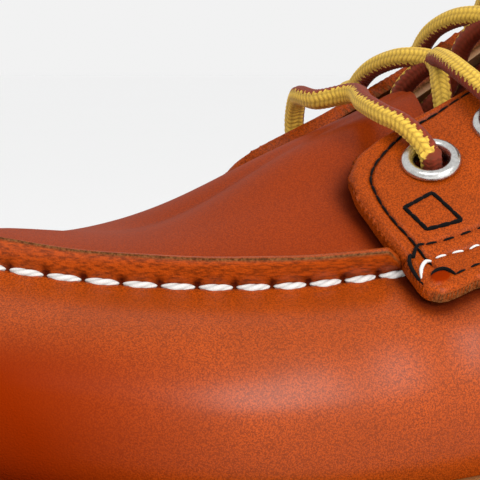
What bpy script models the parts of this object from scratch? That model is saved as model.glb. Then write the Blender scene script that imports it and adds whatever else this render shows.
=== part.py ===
"""Moc toe oxford: one left shoe, standing empty on its sole.

The toe points to -X, the outer (lateral) side of the foot is -Y and +Z is up.
The origin lies in the sole's flat underside, half way along the sole.
The upper is a hollow last shape. Eight rings run round it from the feather edge
to the spine, and a section is a smooth curve through the rings. A place on it is
a turn (0 heel, 1 toe, 2 heel again, by the outer side first) and a distance up
from the moc seam.
"""
import math

import bmesh
import bpy
import numpy as np
from mathutils import Vector

# Driving sizes, in metres
SOLE_LENGTH = 0.302
SOLE_WIDTH = 0.108
HEEL_HEIGHT = 0.031  # outsole under the heel
FOREPART = 0.015  # outsole under the ball
TOE_SPRING = 0.011
UPPER_HEIGHT = 0.081  # from the outsole's top at the heel to the instep's top
WALL = 0.0022
CLEARANCE = 0.0003
LAYER_GAP = 0.0007  # between two curved layers of leather
WELT_THICKNESS = 0.003
WELT_INSET = 0.0005
INSOLE_THICKNESS = 0.003
SEAM_HEIGHT = 0.0047  # the raised moc seam: two leaves of leather on edge
SEAM_WIDTH = 0.004
QUARTER_THICKNESS = 0.0022
LOBE_LIFT = 0.0012  # how far the front of a facing stands off the plug
HEEL_TUCK = 0.003  # the heel is drawn in from the rings' ends
FACING_GAP = 0.017  # from the spine to a facing's edge, over the surface
BACKSTAY_WIDTH = 0.024
BACKSTAY_THICKNESS = 0.0018
TONGUE_THICKNESS = 0.0022
TONGUE_HALF_WIDTH = 0.031
TONGUE_RISE = 0.026  # past the top of the facings
EYELET_FLANGE = 0.0096
EYELET_BARREL = 0.0062
EYELET_BORE = 0.0055
EYELET_DOME = 0.0012
EYELET_PITCH = 0.0142
EYELET_INSET = 0.0129  # from a facing's edge to the eyelets' centres
LACE_DIAMETER = 0.0034
SOLE_CHAMFER = 0.0015
SOLE_GROOVE = 0.0014
PROBE = 0.001  # step along the surface that finds its direction
PROBE_SIDE = 0.0015  # how far from a corner the directions of its two sides are taken

# Places along the shoe, as shares of the way from heel to toe
SPRING_START = 0.72
THROAT_FRONT = 0.714  # the opening ends at the spine
THROAT_BACK = 0.700  # and is at its full width
SEAM_END = 0.734
SEAM_FULL = 0.743
CORNER_START = 0.52
CORNER_FULL = 0.66
SPINE_START = 0.50
FIRST_EYELET = 0.704
TONGUE_FRONT = 0.722
TONGUE_BACK = 0.500
TOE_TIP = 0.03  # how near the toe's middle, as a turn, the surface's crown is a point
EYELET_PAIRS = 5

COLUMNS = 28  # columns of the faceted surfaces along each side
SECTION_SAMPLES = 12

COLOURS = {
    "wall leather": ((0.50, 0.073, 0.011), 0.42, 0.0),
    "quarter leather": ((0.47, 0.078, 0.011), 0.40, 0.0),
    "tongue leather": ((0.28, 0.040, 0.012), 0.55, 0.0),
    "welt leather": ((0.36, 0.19, 0.09), 0.60, 0.0),
    "insole leather": ((0.52, 0.34, 0.20), 0.70, 0.0),
    "sole rubber": ((0.80, 0.76, 0.66), 0.70, 0.0),
    "eyelet metal": ((0.78, 0.79, 0.80), 0.25, 1.0),
    "lace cord": ((0.68, 0.40, 0.04), 0.80, 0.0),
}


def table(columns, rows):
    """Rows of numbers as one array for each named column."""
    return dict(zip(columns.split(), np.array(rows, dtype=float).T))


# Sole outline: half widths and centre line in sole widths (+ is the inner side),
# wedge as the share of what the heel is thicker than the forepart
SOLE = table("share half centre wedge", [
    (0.0, 0.352, 0.000, 1.00),
    (0.1, 0.352, 0.000, 1.00),
    (0.2, 0.355, 0.000, 0.94),
    (0.3, 0.352, -0.006, 0.81),
    (0.4, 0.354, -0.020, 0.62),
    (0.5, 0.382, -0.034, 0.38),
    (0.6, 0.432, -0.036, 0.16),
    (0.7, 0.480, -0.022, 0.03),
    (0.8, 0.502, 0.000, 0.00),
    (0.9, 0.502, 0.028, 0.00),
    (1.0, 0.502, 0.062, 0.00),
])

# Side of the outsole from the floor up: height share, inset in grooves
SOLE_SIDE = table("height inset", [
    (0.00, 0.9),
    (0.08, 0.1),
    (0.66, 0.0),
    (0.70, 1.0),
    (0.76, 1.0),
    (0.80, 0.0),
    (1.00, 0.2),
])

# Rings of the last: their ends in sole lengths (heel +, toe -), the shares of the
# ring that round its heel and toe, and the power of the toe's curve
RINGS = "feather low bulge high seam inner shoulder top"
RING_ENDS = table("heel toe heel_round toe_round toe_power", [
    (0.477, -0.470, 0.13, 0.240, 2.25),
    (0.482, -0.478, 0.13, 0.240, 2.30),
    (0.488, -0.482, 0.13, 0.235, 2.35),
    (0.489, -0.469, 0.13, 0.235, 2.30),
    (0.485, -0.431, 0.13, 0.230, 2.30),
    (0.476, -0.411, 0.13, 0.220, 2.20),
    (0.465, -0.384, 0.13, 0.200, 2.10),
    (0.452, -0.344, 0.13, 0.000, 2.00),
])
HEEL_POWER = 2.2

# Half widths of the rings, in sole widths
WIDTHS = table("share " + RINGS, [
    (0.0, 0.292, 0.304, 0.319, 0.324, 0.319, 0.301, 0.282, 0.269),
    (0.1, 0.292, 0.304, 0.319, 0.324, 0.319, 0.301, 0.282, 0.269),
    (0.2, 0.296, 0.309, 0.324, 0.329, 0.322, 0.306, 0.287, 0.273),
    (0.3, 0.289, 0.304, 0.324, 0.330, 0.320, 0.298, 0.273, 0.250),
    (0.4, 0.292, 0.310, 0.335, 0.339, 0.324, 0.292, 0.250, 0.140),
    (0.5, 0.319, 0.343, 0.372, 0.372, 0.335, 0.282, 0.208, 0.000),
    (0.6, 0.369, 0.394, 0.422, 0.411, 0.335, 0.273, 0.181, 0.000),
    (0.7, 0.415, 0.443, 0.465, 0.430, 0.324, 0.259, 0.162, 0.000),
    (0.8, 0.435, 0.463, 0.481, 0.431, 0.321, 0.245, 0.153, 0.000),
    (0.9, 0.435, 0.463, 0.476, 0.424, 0.294, 0.236, 0.148, 0.000),
    (1.0, 0.435, 0.463, 0.472, 0.421, 0.293, 0.231, 0.148, 0.000),
])

# Heights of the rings over the outsole's top, in upper heights
HEIGHTS = table("share " + RINGS, [
    (0.0, 0.000, 0.083, 0.200, 0.231, 0.404, 0.601, 0.786, 0.996),
    (0.1, 0.000, 0.083, 0.200, 0.231, 0.404, 0.602, 0.788, 0.998),
    (0.2, 0.000, 0.083, 0.200, 0.231, 0.403, 0.601, 0.799, 1.010),
    (0.3, 0.000, 0.083, 0.200, 0.237, 0.407, 0.599, 0.808, 1.030),
    (0.4, 0.000, 0.083, 0.200, 0.254, 0.422, 0.624, 0.845, 1.058),
    (0.5, 0.000, 0.083, 0.200, 0.281, 0.446, 0.659, 0.859, 1.074),
    (0.6, 0.000, 0.083, 0.200, 0.311, 0.462, 0.617, 0.760, 0.912),
    (0.7, 0.000, 0.083, 0.200, 0.324, 0.420, 0.532, 0.637, 0.749),
    (0.8, 0.000, 0.083, 0.200, 0.321, 0.403, 0.471, 0.543, 0.636),
    (0.9, 0.000, 0.083, 0.200, 0.307, 0.399, 0.428, 0.463, 0.493),
    (1.0, 0.000, 0.083, 0.200, 0.284, 0.413, 0.428, 0.451, 0.470),
])

# Collar and throat: how far the opening's edge lies below the last's top line,
# in upper heights; the throat's long edges follow FACING_GAP instead
COLLAR = table("share drop", [
    (0.00, 0.190),
    (0.06, 0.205),
    (0.14, 0.300),
    (0.22, 0.395),
    (0.30, 0.430),
    (0.38, 0.380),
    (0.43, 0.265),
    (0.47, 0.200),
])

# Outline of a quarter's lobe, front to back: heights over the moc seam of its lower
# and upper edge, in upper heights
LOBE = table("share lower upper", [
    (0.7560, 0.222, 0.275),
    (0.7515, 0.176, 0.302),
    (0.7450, 0.128, 0.322),
    (0.7370, 0.074, 0.340),
    (0.7270, 0.018, 0.354),
    (0.7170, -0.052, 0.366),
    (0.7080, -0.114, 0.378),
    (0.7000, -0.134, 0.390),
    (0.6760, -0.110, 0.400),
])

# Lower edge of a quarter behind its lobe: height over the moc seam in upper heights,
# down to where it goes behind the welt
HEM = table("share lower", [
    (0.676, -0.110),
    (0.640, -0.112),
    (0.590, -0.165),
    (0.540, -0.255),
    (0.480, -0.400),
    (0.430, -0.560),
])

# Half widths of the tongue in its greatest half width
TONGUE = table("along half", [
    (0.00, 0.42),
    (0.12, 0.48),
    (0.25, 0.70),
    (0.50, 0.88),
    (0.80, 0.98),
    (1.00, 1.00),
])
# The tongue's rounded end, past the facings
TONGUE_TIP = table("rise width flat", [
    (0.30, 1.02, 0.06),
    (0.62, 1.03, 0.16),
    (0.88, 0.99, 0.25),
    (1.00, 0.88, 0.30),
])

# Route of a lace strand from under one facing to the next eyelet of the other:
# along in eyelet pitches, across in the eyelets' distance from the spine,
# level: -1 lies under the wall, 1 lies on the facing
CROSSING = table("along across level", [
    (0.01, -0.99, -1.02),
    (0.07, -0.80, -1.00),
    (0.13, -0.66, -1.00),
    (0.19, -0.53, -0.97),
    (0.24, -0.40, -0.60),
    (0.28, -0.24, -0.06),
    (0.34, 0.00, 0.34),
    (0.41, 0.20, 0.60),
    (0.51, 0.38, 0.84),
    (0.62, 0.54, 1.02),
    (0.74, 0.68, 1.10),
    (0.88, 0.84, 1.14),
    (0.99, 0.97, 1.36),
])
BAR = table("along across level", [
    (0.00, -0.97, 1.36),
    (-0.12, -0.86, 1.16),
    (-0.30, -0.74, 1.06),
    (-0.56, -0.56, 1.02),
    (-0.82, -0.30, 0.74),
    (-0.94, 0.00, 0.60),
    (-0.90, 0.26, 0.72),
    (-0.62, 0.46, 1.16),
    (-0.34, 0.62, 1.34),
    (-0.12, 0.80, 1.24),
    (0.00, 0.97, 1.36),
])


def hermite(u, start, end, slope_in, slope_out):
    """Smooth run from start to end with given slopes, for u from 0 to 1."""
    return ((2 * u**3 - 3 * u**2 + 1) * start + (u**3 - 2 * u**2 + u) * slope_in
            + (3 * u**2 - 2 * u**3) * end + (u**3 - u**2) * slope_out)


def cubic(at, places, values):
    """Smooth curve through a table's rows."""
    at = np.clip(at, places[0], places[-1])
    slopes = np.gradient(values, places)
    row = np.clip(np.searchsorted(places, at, side="right") - 1, 0, len(places) - 2)
    step = places[row + 1] - places[row]
    return hermite((at - places[row]) / step, values[row], values[row + 1],
                   step * slopes[row], step * slopes[row + 1])


def ease(value, start, end):
    """0 before start, 1 past end, with soft ends."""
    u = np.clip((value - start) / (end - start), 0, 1)
    return u * u * (3 - 2 * u)


def travel(t):
    """Share of the way from heel to toe at a column."""
    return (1 - np.cos(np.pi * np.asarray(t, dtype=float))) / 2


def column(share):
    """The column that lies at a share of the way from heel to toe."""
    return np.arccos(1 - 2 * np.asarray(share, dtype=float)) / np.pi


def rounding(share, heel, toe, toe_power):
    """How a ring narrows to nothing at its heel and its toe."""
    behind = np.clip(1 - share / heel, 0, 1) if heel else np.zeros_like(share)
    ahead = np.clip((share - 1 + toe) / toe, 0, 1) if toe else np.zeros_like(share)
    return (1 - behind**HEEL_POWER) ** (1 / HEEL_POWER) * (1 - ahead**toe_power) ** (1 / toe_power)


def sole_share(x):
    return np.clip(0.5 - x / SOLE_LENGTH, 0, 1)


def sole_centre(x):
    return cubic(sole_share(x), SOLE["share"], SOLE["centre"]) * SOLE_WIDTH


def sole_bottom(x):
    past = np.clip((sole_share(x) - SPRING_START) / (1 - SPRING_START), 0, 1)
    return TOE_SPRING * past**2


def sole_top(x):
    wedge = cubic(sole_share(x), SOLE["share"], SOLE["wedge"])
    return sole_bottom(x) + FOREPART + (HEEL_HEIGHT - FOREPART) * wedge


def ring_points(index, name, t, side):
    """Points of one ring on one side of the last."""
    ends = {key: values[index] for key, values in RING_ENDS.items()}
    share = travel(t)
    x = SOLE_LENGTH * (ends["heel"] + (ends["toe"] - ends["heel"]) * share)
    x = x - HEEL_TUCK * (1 - ease(share, 0, 0.3))
    half = SOLE_WIDTH * np.maximum(cubic(share, WIDTHS["share"], WIDTHS[name]), 0)
    if name == "top":
        half = np.where(share >= SPINE_START, 0, half)
    half = half * rounding(share, ends["heel_round"], ends["toe_round"], ends["toe_power"])
    z = sole_top(x) + CLEARANCE + UPPER_HEIGHT * cubic(share, HEIGHTS["share"], HEIGHTS[name])
    return np.stack([x, sole_centre(x) + side * half, z], axis=-1)


def unit(vectors):
    return vectors / np.maximum(np.linalg.norm(vectors, axis=-1, keepdims=True), 1e-12)


def half_sections(t, side):
    """Fine section curves from the feather edge to the top, with the seam's sample."""
    names = RINGS.split()
    seam = names.index("seam")
    knots = np.stack([ring_points(i, name, t, side) for i, name in enumerate(names)], axis=1)
    chord = np.diff(knots, axis=1)
    length = np.maximum(np.linalg.norm(chord, axis=2, keepdims=True), 1e-9)
    chord = chord / length
    between = chord[:, :-1] * length[:, 1:] + chord[:, 1:] * length[:, :-1]
    between = between / (length[:, 1:] + length[:, :-1])
    slope = np.concatenate([chord[:, :1], between, chord[:, -1:]], axis=1)
    share = travel(t)[:, None]
    level = ease(share, SPINE_START - 0.2, SPINE_START)
    slope[:, -1] = unit(slope[:, -1] * (1 - level) + unit(chord[:, -1] * (1, 1, 0)) * level)
    corner = np.clip((share - CORNER_START) / (CORNER_FULL - CORNER_START), 0, 1)
    u = np.linspace(0, 1, SECTION_SAMPLES, endpoint=False)[None, :, None]
    pieces = []
    for i in range(len(names) - 1):
        start, end = slope[:, i], slope[:, i + 1]
        if i == seam:
            start = start * (1 - corner) + chord[:, i] * corner
        if i + 1 == seam:
            end = end * (1 - corner) + chord[:, i] * corner
        span = length[:, i, None]
        pieces.append(hermite(u, knots[:, i, None], knots[:, i + 1, None],
                              span * start[:, None], span * end[:, None]))
    return np.concatenate(pieces + [knots[:, -1:]], axis=1), seam * SECTION_SAMPLES


def fold(turn):
    """Column and side (-1 outer, 1 inner) of each turn."""
    turn = np.mod(np.asarray(turn, dtype=float), 2)
    return np.where(turn <= 1, turn, 2 - turn), np.where(turn <= 1, -1.0, 1.0)


def sections(turn):
    """Section curves that run on past the spine, their distances from the seam,
    and the distances of the feather edge and of the last's top line."""
    t, side = fold(turn)
    curve, seam = half_sections(t, side)
    over, _ = half_sections(t, -side)
    over = over[:, -2:-2 * SECTION_SAMPLES:-1]
    step = unit(curve[:, -1:] - curve[:, -2:-1]) * np.arange(1, over.shape[1] + 1)[None, :, None] * PROBE
    shut = (travel(t) >= SPINE_START)[:, None, None]
    whole = np.concatenate([curve, np.where(shut, over, curve[:, -1:] + step)], axis=1)
    run = np.cumsum(np.linalg.norm(np.diff(whole, axis=1), axis=2), axis=1)
    run = np.concatenate([np.zeros((len(t), 1)), run], axis=1)
    run = run - run[:, seam:seam + 1]
    return whole, run, run[:, 0], run[:, curve.shape[1] - 1]


def reach(turn):
    """Distances from the seam of the feather edge and of the last's top line."""
    _, _, low, high = sections(np.atleast_1d(turn))
    return low, high


def along(turn, distance):
    """Points at rows of distances up from the seam, one row for each turn."""
    curve, run, _, _ = sections(turn)
    return np.stack([[np.interp(row, run[i], curve[i, :, axis]) for axis in range(3)]
                     for i, row in enumerate(distance)]).transpose(0, 2, 1)


def normals(turn, distance):
    """Outward directions of the last's surface at rows of distances."""
    turn_step = 0.001
    up_step = 0.4 * PROBE
    round_it = along(turn + turn_step, distance) - along(turn - turn_step, distance)
    up_it = along(turn, distance + up_step) - along(turn, distance - up_step)
    return unit(np.cross(up_it, round_it))


def surface(turn, distance, offset=0.0):
    """Points that stand off the last's surface."""
    turn = np.asarray(turn, dtype=float)
    distance = np.asarray(distance, dtype=float)
    _, high = reach(turn)
    near_toe = np.abs(np.mod(turn, 2) - 1) < TOE_TIP
    probe = np.where(near_toe[:, None], np.minimum(distance, high[:, None] - PROBE_SIDE), distance)
    offset = np.asarray(offset, dtype=float)
    return along(turn, distance) + normals(turn, probe) * np.broadcast_to(offset, distance.shape)[..., None]


def over_welt(turn, stand):
    """Distance up from the seam where leather that stands out this far clears the welt."""
    low, _ = reach(turn)
    facing = normals(turn, low[:, None])[:, 0]
    fall = stand * np.maximum(-facing[:, 2], 0)
    return low + (WELT_THICKNESS + 2 * CLEARANCE + fall) / np.hypot(facing[:, 0], facing[:, 1])


def collar_drop(share):
    """Distance of the opening's edge below the last's top line."""
    rear = cubic(share, COLLAR["share"], COLLAR["drop"]) * UPPER_HEIGHT
    blend = ease(share, COLLAR["share"][-1] - 0.02, COLLAR["share"][-1] + 0.05)
    drop = rear * (1 - blend) + FACING_GAP * blend
    return drop * (1 - ease(share, THROAT_BACK, THROAT_FRONT))


def edge(turn):
    """Distance from the seam of the opening's edge, or of the spine ahead of it."""
    t, _ = fold(turn)
    _, high = reach(turn)
    return high - collar_drop(travel(t))


def columns():
    """Columns from heel to toe, evenly spaced along the seam, with extra ones where the
    throat and the raised seam start."""
    fine = np.linspace(0, 1, 400)
    ring = ring_points(4, "seam", fine, -1.0)
    run = np.concatenate([[0], np.cumsum(np.linalg.norm(np.diff(ring, axis=0), axis=1))])
    even = np.interp(np.linspace(0, run[-1], COLUMNS + 1), run, fine)
    extra = column([THROAT_BACK, THROAT_FRONT, SEAM_END, SEAM_FULL])
    apart = np.abs(even[:, None] - extra).min(axis=1)
    return np.sort(np.concatenate([even[apart > 0.4 / COLUMNS], extra]))


def heel_column(distance):
    """The column that lies a distance round the heel from its middle."""
    fine = np.linspace(0, 0.4, 200)
    ring = ring_points(4, "seam", fine, -1.0)
    run = np.concatenate([[0], np.cumsum(np.linalg.norm(np.diff(ring, axis=0), axis=1))])
    return float(np.interp(distance, run, fine))


def around():
    """Turns once round the shoe, through the heel, the outer side, the toe and back."""
    t = columns()
    return np.concatenate([t, 2 - t[-2:0:-1]])


def material(name):
    made = bpy.data.materials.get(name)
    if made is None:
        colour, roughness, metallic = COLOURS[name]
        made = bpy.data.materials.new(name)
        made.use_nodes = True
        shader = made.node_tree.nodes["Principled BSDF"]
        shader.inputs["Base Color"].default_value = (*colour, 1)
        shader.inputs["Roughness"].default_value = roughness
        shader.inputs["Metallic"].default_value = metallic
        made.diffuse_color = (*colour, 1)
    return made


def add_object(name, mesh, finish, collection):
    made = bpy.data.objects.new(name, mesh)
    collection.objects.link(made)
    if finish:
        mesh.materials.append(material(finish))
        mesh.shade_smooth()
        mesh.set_sharp_from_angle(angle=math.radians(40))
    return made


def mesh_from(bm, name):
    bmesh.ops.recalc_face_normals(bm, faces=bm.faces)
    mesh = bpy.data.meshes.new(name)
    bm.to_mesh(mesh)
    bm.free()
    return mesh


def lay_grid(bm, points):
    """A grid of faces whose corners lie at points[column, row]."""
    across, up = points.shape[:2]
    made = bmesh.ops.create_grid(bm, x_segments=across - 1, y_segments=up - 1, size=1)
    corners = sorted(made["verts"], key=lambda v: (round(v.co.x, 5), round(v.co.y, 5)))
    for corner, point in zip(corners, points.reshape(-1, 3)):
        corner.co = point


def sheet(name, points, thickness, grow, finish, collection, mirrored=False):
    """A sheet of leather over a grid of points; grow is 1 for out, -1 for in."""
    bm = bmesh.new()
    lay_grid(bm, points)
    if mirrored:
        bmesh.ops.reverse_faces(bm, faces=bm.faces)
    mesh = bpy.data.meshes.new(name)
    bm.to_mesh(mesh)
    bm.free()
    made = add_object(name, mesh, finish, collection)
    solidify = made.modifiers.new("Thickness", "SOLIDIFY")
    solidify.thickness = thickness
    solidify.offset = grow
    solidify.use_even_offset = True
    solidify.use_quality_normals = True
    return made


def loft(bm, loops, closed=True, skip=()):
    """Faces between neighbouring closed loops; skip holds faces to leave out. On the
    second half of a closed round the corners start so that its facets mirror the
    first half's."""
    corners = [[bm.verts.new(point) for point in loop] for loop in loops]
    count = len(corners)
    size = len(corners[0])
    for i in range(count if closed else count - 1):
        after = corners[(i + 1) % count]
        for k in range(size):
            if (i, k) not in skip:
                up = (k + 1) % size
                face = [corners[i][k], after[k], after[up], corners[i][up]]
                mirrored = closed and i >= count // 2
                bm.faces.new(face[1:] + face[:1] if mirrored else face)
    return corners


def slab(name, levels, finish, collection):
    """A solid between loops that lie over each other, closed by strips from side to side."""
    bm = bmesh.new()
    corners = loft(bm, levels, closed=False)
    count = len(levels[0])
    for loop in (corners[0], corners[-1]):
        for i in range(1, count // 2):
            left, right = loop[i], loop[count - i]
            if i == 1:
                bm.faces.new((loop[0], left, right))
            if i < count // 2 - 1:
                bm.faces.new((left, loop[i + 1], loop[count - i - 1], right))
            else:
                bm.faces.new((left, loop[i + 1], right))
    return add_object(name, mesh_from(bm, name), finish, collection)


def outline(turn, inset):
    """The sole's outline in plan, drawn in by an inset."""
    t, side = fold(turn)
    share = travel(t)
    x = SOLE_LENGTH * (0.5 - share)
    half = SOLE_WIDTH * cubic(share, SOLE["share"], SOLE["half"])
    half = half * rounding(share, *(RING_ENDS[key][0] for key in ("heel_round", "toe_round", "toe_power")))
    plan = np.stack([x, sole_centre(x) + side * half], axis=-1)
    way = unit(np.roll(plan, -1, axis=0) - np.roll(plan, 1, axis=0))
    return plan + inset * np.stack([way[:, 1], -way[:, 0]], axis=-1)


def make_outsole(collection):
    turn = around()
    levels = []
    for height, inset in zip(SOLE_SIDE["height"], SOLE_SIDE["inset"]):
        depth = SOLE_CHAMFER if height == 0 else SOLE_GROOVE
        plan = outline(turn, inset * depth)
        bottom, top = sole_bottom(plan[:, 0]), sole_top(plan[:, 0])
        levels.append(np.column_stack([plan, bottom + (top - bottom) * height]))
    return slab("outsole", levels, "sole rubber", collection)


def make_welt(collection):
    turn = around()
    low, _ = reach(turn)
    plan = outline(turn, WELT_INSET)
    inner = surface(turn, np.stack([low, low + WELT_THICKNESS], axis=1), CLEARANCE)
    loops = []
    for i in range(len(turn)):
        floor_out = sole_top(plan[i, 0]) + CLEARANCE
        floor_in = sole_top(inner[i, 0, 0]) + CLEARANCE
        loops.append([(*plan[i], floor_out), (*plan[i], floor_out + WELT_THICKNESS),
                      (*inner[i, 1, :2], floor_in + WELT_THICKNESS), (*inner[i, 0, :2], floor_in)])
    bm = bmesh.new()
    loft(bm, loops)
    return add_object("welt", mesh_from(bm, "welt"), "welt leather", collection)


def make_insole(collection):
    turn = around()
    low, _ = reach(turn)
    plan = surface(turn, low[:, None], -WALL - CLEARANCE)[:, 0, :2]
    floor = sole_top(plan[:, 0]) + CLEARANCE
    levels = [np.column_stack([plan, floor + rise]) for rise in (0, INSOLE_THICKNESS)]
    return slab("insole", levels, "insole leather", collection)


def raised_seam(turn):
    """Rows over the raised moc seam: distance over the seam and height, for each turn."""
    t, _ = fold(turn)
    height = SEAM_HEIGHT * ease(travel(t), SEAM_END, SEAM_FULL)
    profile = ((0.0, 0.0), (0.03, 0.90), (0.18, 1.0), (0.80, 0.74), (0.97, 0.58), (1.0, 0.0))
    return [(share * SEAM_WIDTH, height * rise) for share, rise in profile]


def make_upper(collection, cutters):
    """Wall, raised seam, plug and lining as one hollow solid, open at collar, throat
    and underneath."""
    turn = around()
    t, _ = fold(turn)
    low, _ = reach(turn)
    top = edge(turn)
    below = (1.0, 0.80, 0.60, 0.41, 0.24, 0.09)
    above = (0.12, 0.27, 0.45, 0.63, 0.81, 1.0)
    inside = (1.0, 0.76, 0.52, 0.28)
    inside_low = (0.25, 0.5, 0.75, 1.0)
    outer = list(surface(turn, np.outer(low, below)).transpose(1, 0, 2))
    stand = normals(turn, np.full((len(turn), 1), SEAM_WIDTH / 2))[:, 0]
    for distance, height in raised_seam(turn):
        base = along(turn, np.full((len(turn), 1), distance))[:, 0]
        outer.append(base + stand * height[:, None])
    rise = SEAM_WIDTH + np.outer(top - SEAM_WIDTH, above)
    outer += list(surface(turn, rise).transpose(1, 0, 2))
    inner = list(surface(turn, np.outer(top, inside), -WALL).transpose(1, 0, 2))
    wall_side = normals(turn, np.full((len(turn), 1), -PROBE_SIDE))[:, 0]
    plug_side = normals(turn, np.full((len(turn), 1), PROBE_SIDE))[:, 0]
    mitre = (wall_side + plug_side) / (1 + np.sum(wall_side * plug_side, axis=1, keepdims=True))
    inner.append(along(turn, np.zeros((len(turn), 1)))[:, 0] - mitre * WALL)
    inner += list(surface(turn, np.outer(low, inside_low), -WALL).transpose(1, 0, 2))
    loops = np.stack(outer + inner, axis=1)
    spine = len(outer) - 1
    shut = travel(t) >= THROAT_FRONT - 1e-9
    half = len(turn) // 2
    for i in range(1, half):
        if shut[i]:
            mate = len(turn) - i
            middle = (loops[i, spine:spine + 2] + loops[mate, spine:spine + 2]) / 2
            loops[i, spine:spine + 2] = loops[mate, spine:spine + 2] = middle
    count = len(turn)
    skip = {(i, spine) for i in range(count) if shut[i] and shut[(i + 1) % count]}
    bm = bmesh.new()
    loft(bm, loops, skip=skip)
    bmesh.ops.remove_doubles(bm, verts=bm.verts, dist=1e-6)
    made = add_object("upper", mesh_from(bm, "upper"), "wall leather", collection)
    cut(made, cutters)
    return made


def stand_off(turn, distance):
    """How far a quarter's inner face stands off the last's surface."""
    t, _ = fold(turn)
    front = ease(travel(t), FIRST_EYELET - 3 * EYELET_PITCH / SOLE_LENGTH, FIRST_EYELET)[:, None]
    return LAYER_GAP + LOBE_LIFT * front * ease(distance, -0.05 * UPPER_HEIGHT, 0.36 * UPPER_HEIGHT)


def quarter_points(side):
    """Grid of a quarter's inner face, its columns running from the lobe to the heel."""
    t = columns()
    behind = t[(travel(t) < LOBE["share"][-1] - 0.01) & (t > heel_column(SEAM_WIDTH))][::-1]
    start = heel_column(CLEARANCE / 2)
    t = np.concatenate([column(LOBE["share"]), behind, [start]])
    turn = t if side < 0 else 2 - t
    share = travel(t)
    _, high = reach(turn)
    floor = over_welt(turn, LAYER_GAP + QUARTER_THICKNESS)
    hem = np.interp(share, HEM["share"][::-1], HEM["lower"][::-1]) * UPPER_HEIGHT
    lower = np.maximum(np.where(share < HEM["share"][-1], floor, hem), floor)
    upper = edge(turn)
    front = len(LOBE["share"])
    lower[:front] = LOBE["lower"] * UPPER_HEIGHT
    upper[:front] = np.minimum(LOBE["upper"] * UPPER_HEIGHT, high[:front] - FACING_GAP)
    middle = np.maximum(lower + 0.25 * (upper - lower), 0)
    below = np.linspace(0, 1, 4, endpoint=False)
    above = np.linspace(0, 1, 6)
    distance = np.concatenate([lower[:, None] + np.outer(middle - lower, below),
                               middle[:, None] + np.outer(upper - middle, above)], axis=1)
    return surface(turn, distance, stand_off(turn, distance))


def make_quarter(name, side, collection, cutters):
    made = sheet(name, quarter_points(side), QUARTER_THICKNESS, 1, "quarter leather", collection, side > 0)
    cut(made, cutters)
    return made


def make_backstay(collection):
    width = heel_column(BACKSTAY_WIDTH / 2)
    turn = np.linspace(width, -width, 7)
    lower = over_welt(turn, 2 * LAYER_GAP + QUARTER_THICKNESS + BACKSTAY_THICKNESS)
    distance = lower[:, None] + np.outer(edge(turn) - lower, np.linspace(0, 1, 9))
    points = surface(turn, distance, 2 * LAYER_GAP + QUARTER_THICKNESS)
    return sheet("backstay", points, BACKSTAY_THICKNESS, 1, "quarter leather", collection)


def over_spine(share, across, offset):
    """Points over the instep: across is measured over the surface from the spine,
    - to the outer side; offset is along the surface's outward direction."""
    share, across, offset = (np.atleast_1d(values) for values in (share, across, offset))
    turn = np.where(across < 0, column(share), 2 - column(share))
    _, high = reach(turn)
    return surface(turn, (high - np.abs(across))[:, None], offset[:, None])[:, 0]


def make_tongue(collection):
    under = WALL + 3 * CLEARANCE
    lowered = WALL + LACE_DIAMETER + 4 * CLEARANCE
    u, v = np.meshgrid(np.linspace(0, 1, 10), np.linspace(-1, 1, 7), indexing="ij")
    share = TONGUE_FRONT + (TONGUE_BACK - TONGUE_FRONT) * u
    depth = under + (lowered - under) * ease(u, 0.02, 0.12)
    half = TONGUE_HALF_WIDTH * cubic(u, TONGUE["along"], TONGUE["half"])
    points = over_spine(share.ravel(), (half * v).ravel(), -depth.ravel()).reshape(*u.shape, 3)
    way = unit((points[-1] - points[-2]).mean(axis=0))
    rows = list(points)
    for rise, width, flat in zip(*TONGUE_TIP.values()):
        row = points[-1] + way * TONGUE_RISE * rise
        middle = row[len(row) // 2]
        row = middle + (row - middle) * (1 - rise, width, 1 - flat)
        rows.append(row)
    return sheet("tongue", np.array(rows), TONGUE_THICKNESS, -1, "tongue leather", collection)


def eyelet_places():
    """For each eyelet: its name, the middle of its seat, the way that it faces and how
    far the seat stands off the last's surface."""
    number = np.tile(np.arange(EYELET_PAIRS), 2)
    side = np.repeat([-1, 1], EYELET_PAIRS)
    share = FIRST_EYELET - number * EYELET_PITCH / SOLE_LENGTH
    turn = np.where(side < 0, column(share), 2 - column(share))
    _, high = reach(turn)
    distance = (high - FACING_GAP - EYELET_INSET)[:, None]
    seat = stand_off(turn, distance) + QUARTER_THICKNESS
    middle = surface(turn, distance, seat)[:, 0]
    facing = normals(turn, distance)[:, 0]
    names = [f"eyelet_{'outer' if way < 0 else 'inner'}_{i + 1}" for way, i in zip(side, number)]
    return list(zip(names, map(Vector, middle), map(Vector, facing), seat[:, 0].tolist()))


def make_eyelet_cutter(collection):
    """Round holes for the eyelets' barrels through quarters and wall."""
    bm = bmesh.new()
    for _, middle, facing, seat in eyelet_places():
        radius = EYELET_BARREL / 2 + CLEARANCE
        made = bmesh.ops.create_cone(bm, cap_ends=True, segments=12, radius1=radius, radius2=radius,
                                     depth=2 * (seat + 2 * WALL))
        turned = facing.to_track_quat("Z", "Y").to_matrix().to_4x4()
        bmesh.ops.transform(bm, matrix=turned, verts=made["verts"])
        bmesh.ops.translate(bm, vec=middle, verts=made["verts"])
    made = add_object("eyelet_holes", mesh_from(bm, "eyelet_holes"), None, collection)
    made.hide_render = True
    made.display_type = "WIRE"
    return made


def cut(target, cutter):
    modifier = target.modifiers.new("Eyelet holes", "BOOLEAN")
    modifier.operation = "DIFFERENCE"
    modifier.solver = "EXACT"
    modifier.object = cutter


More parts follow.
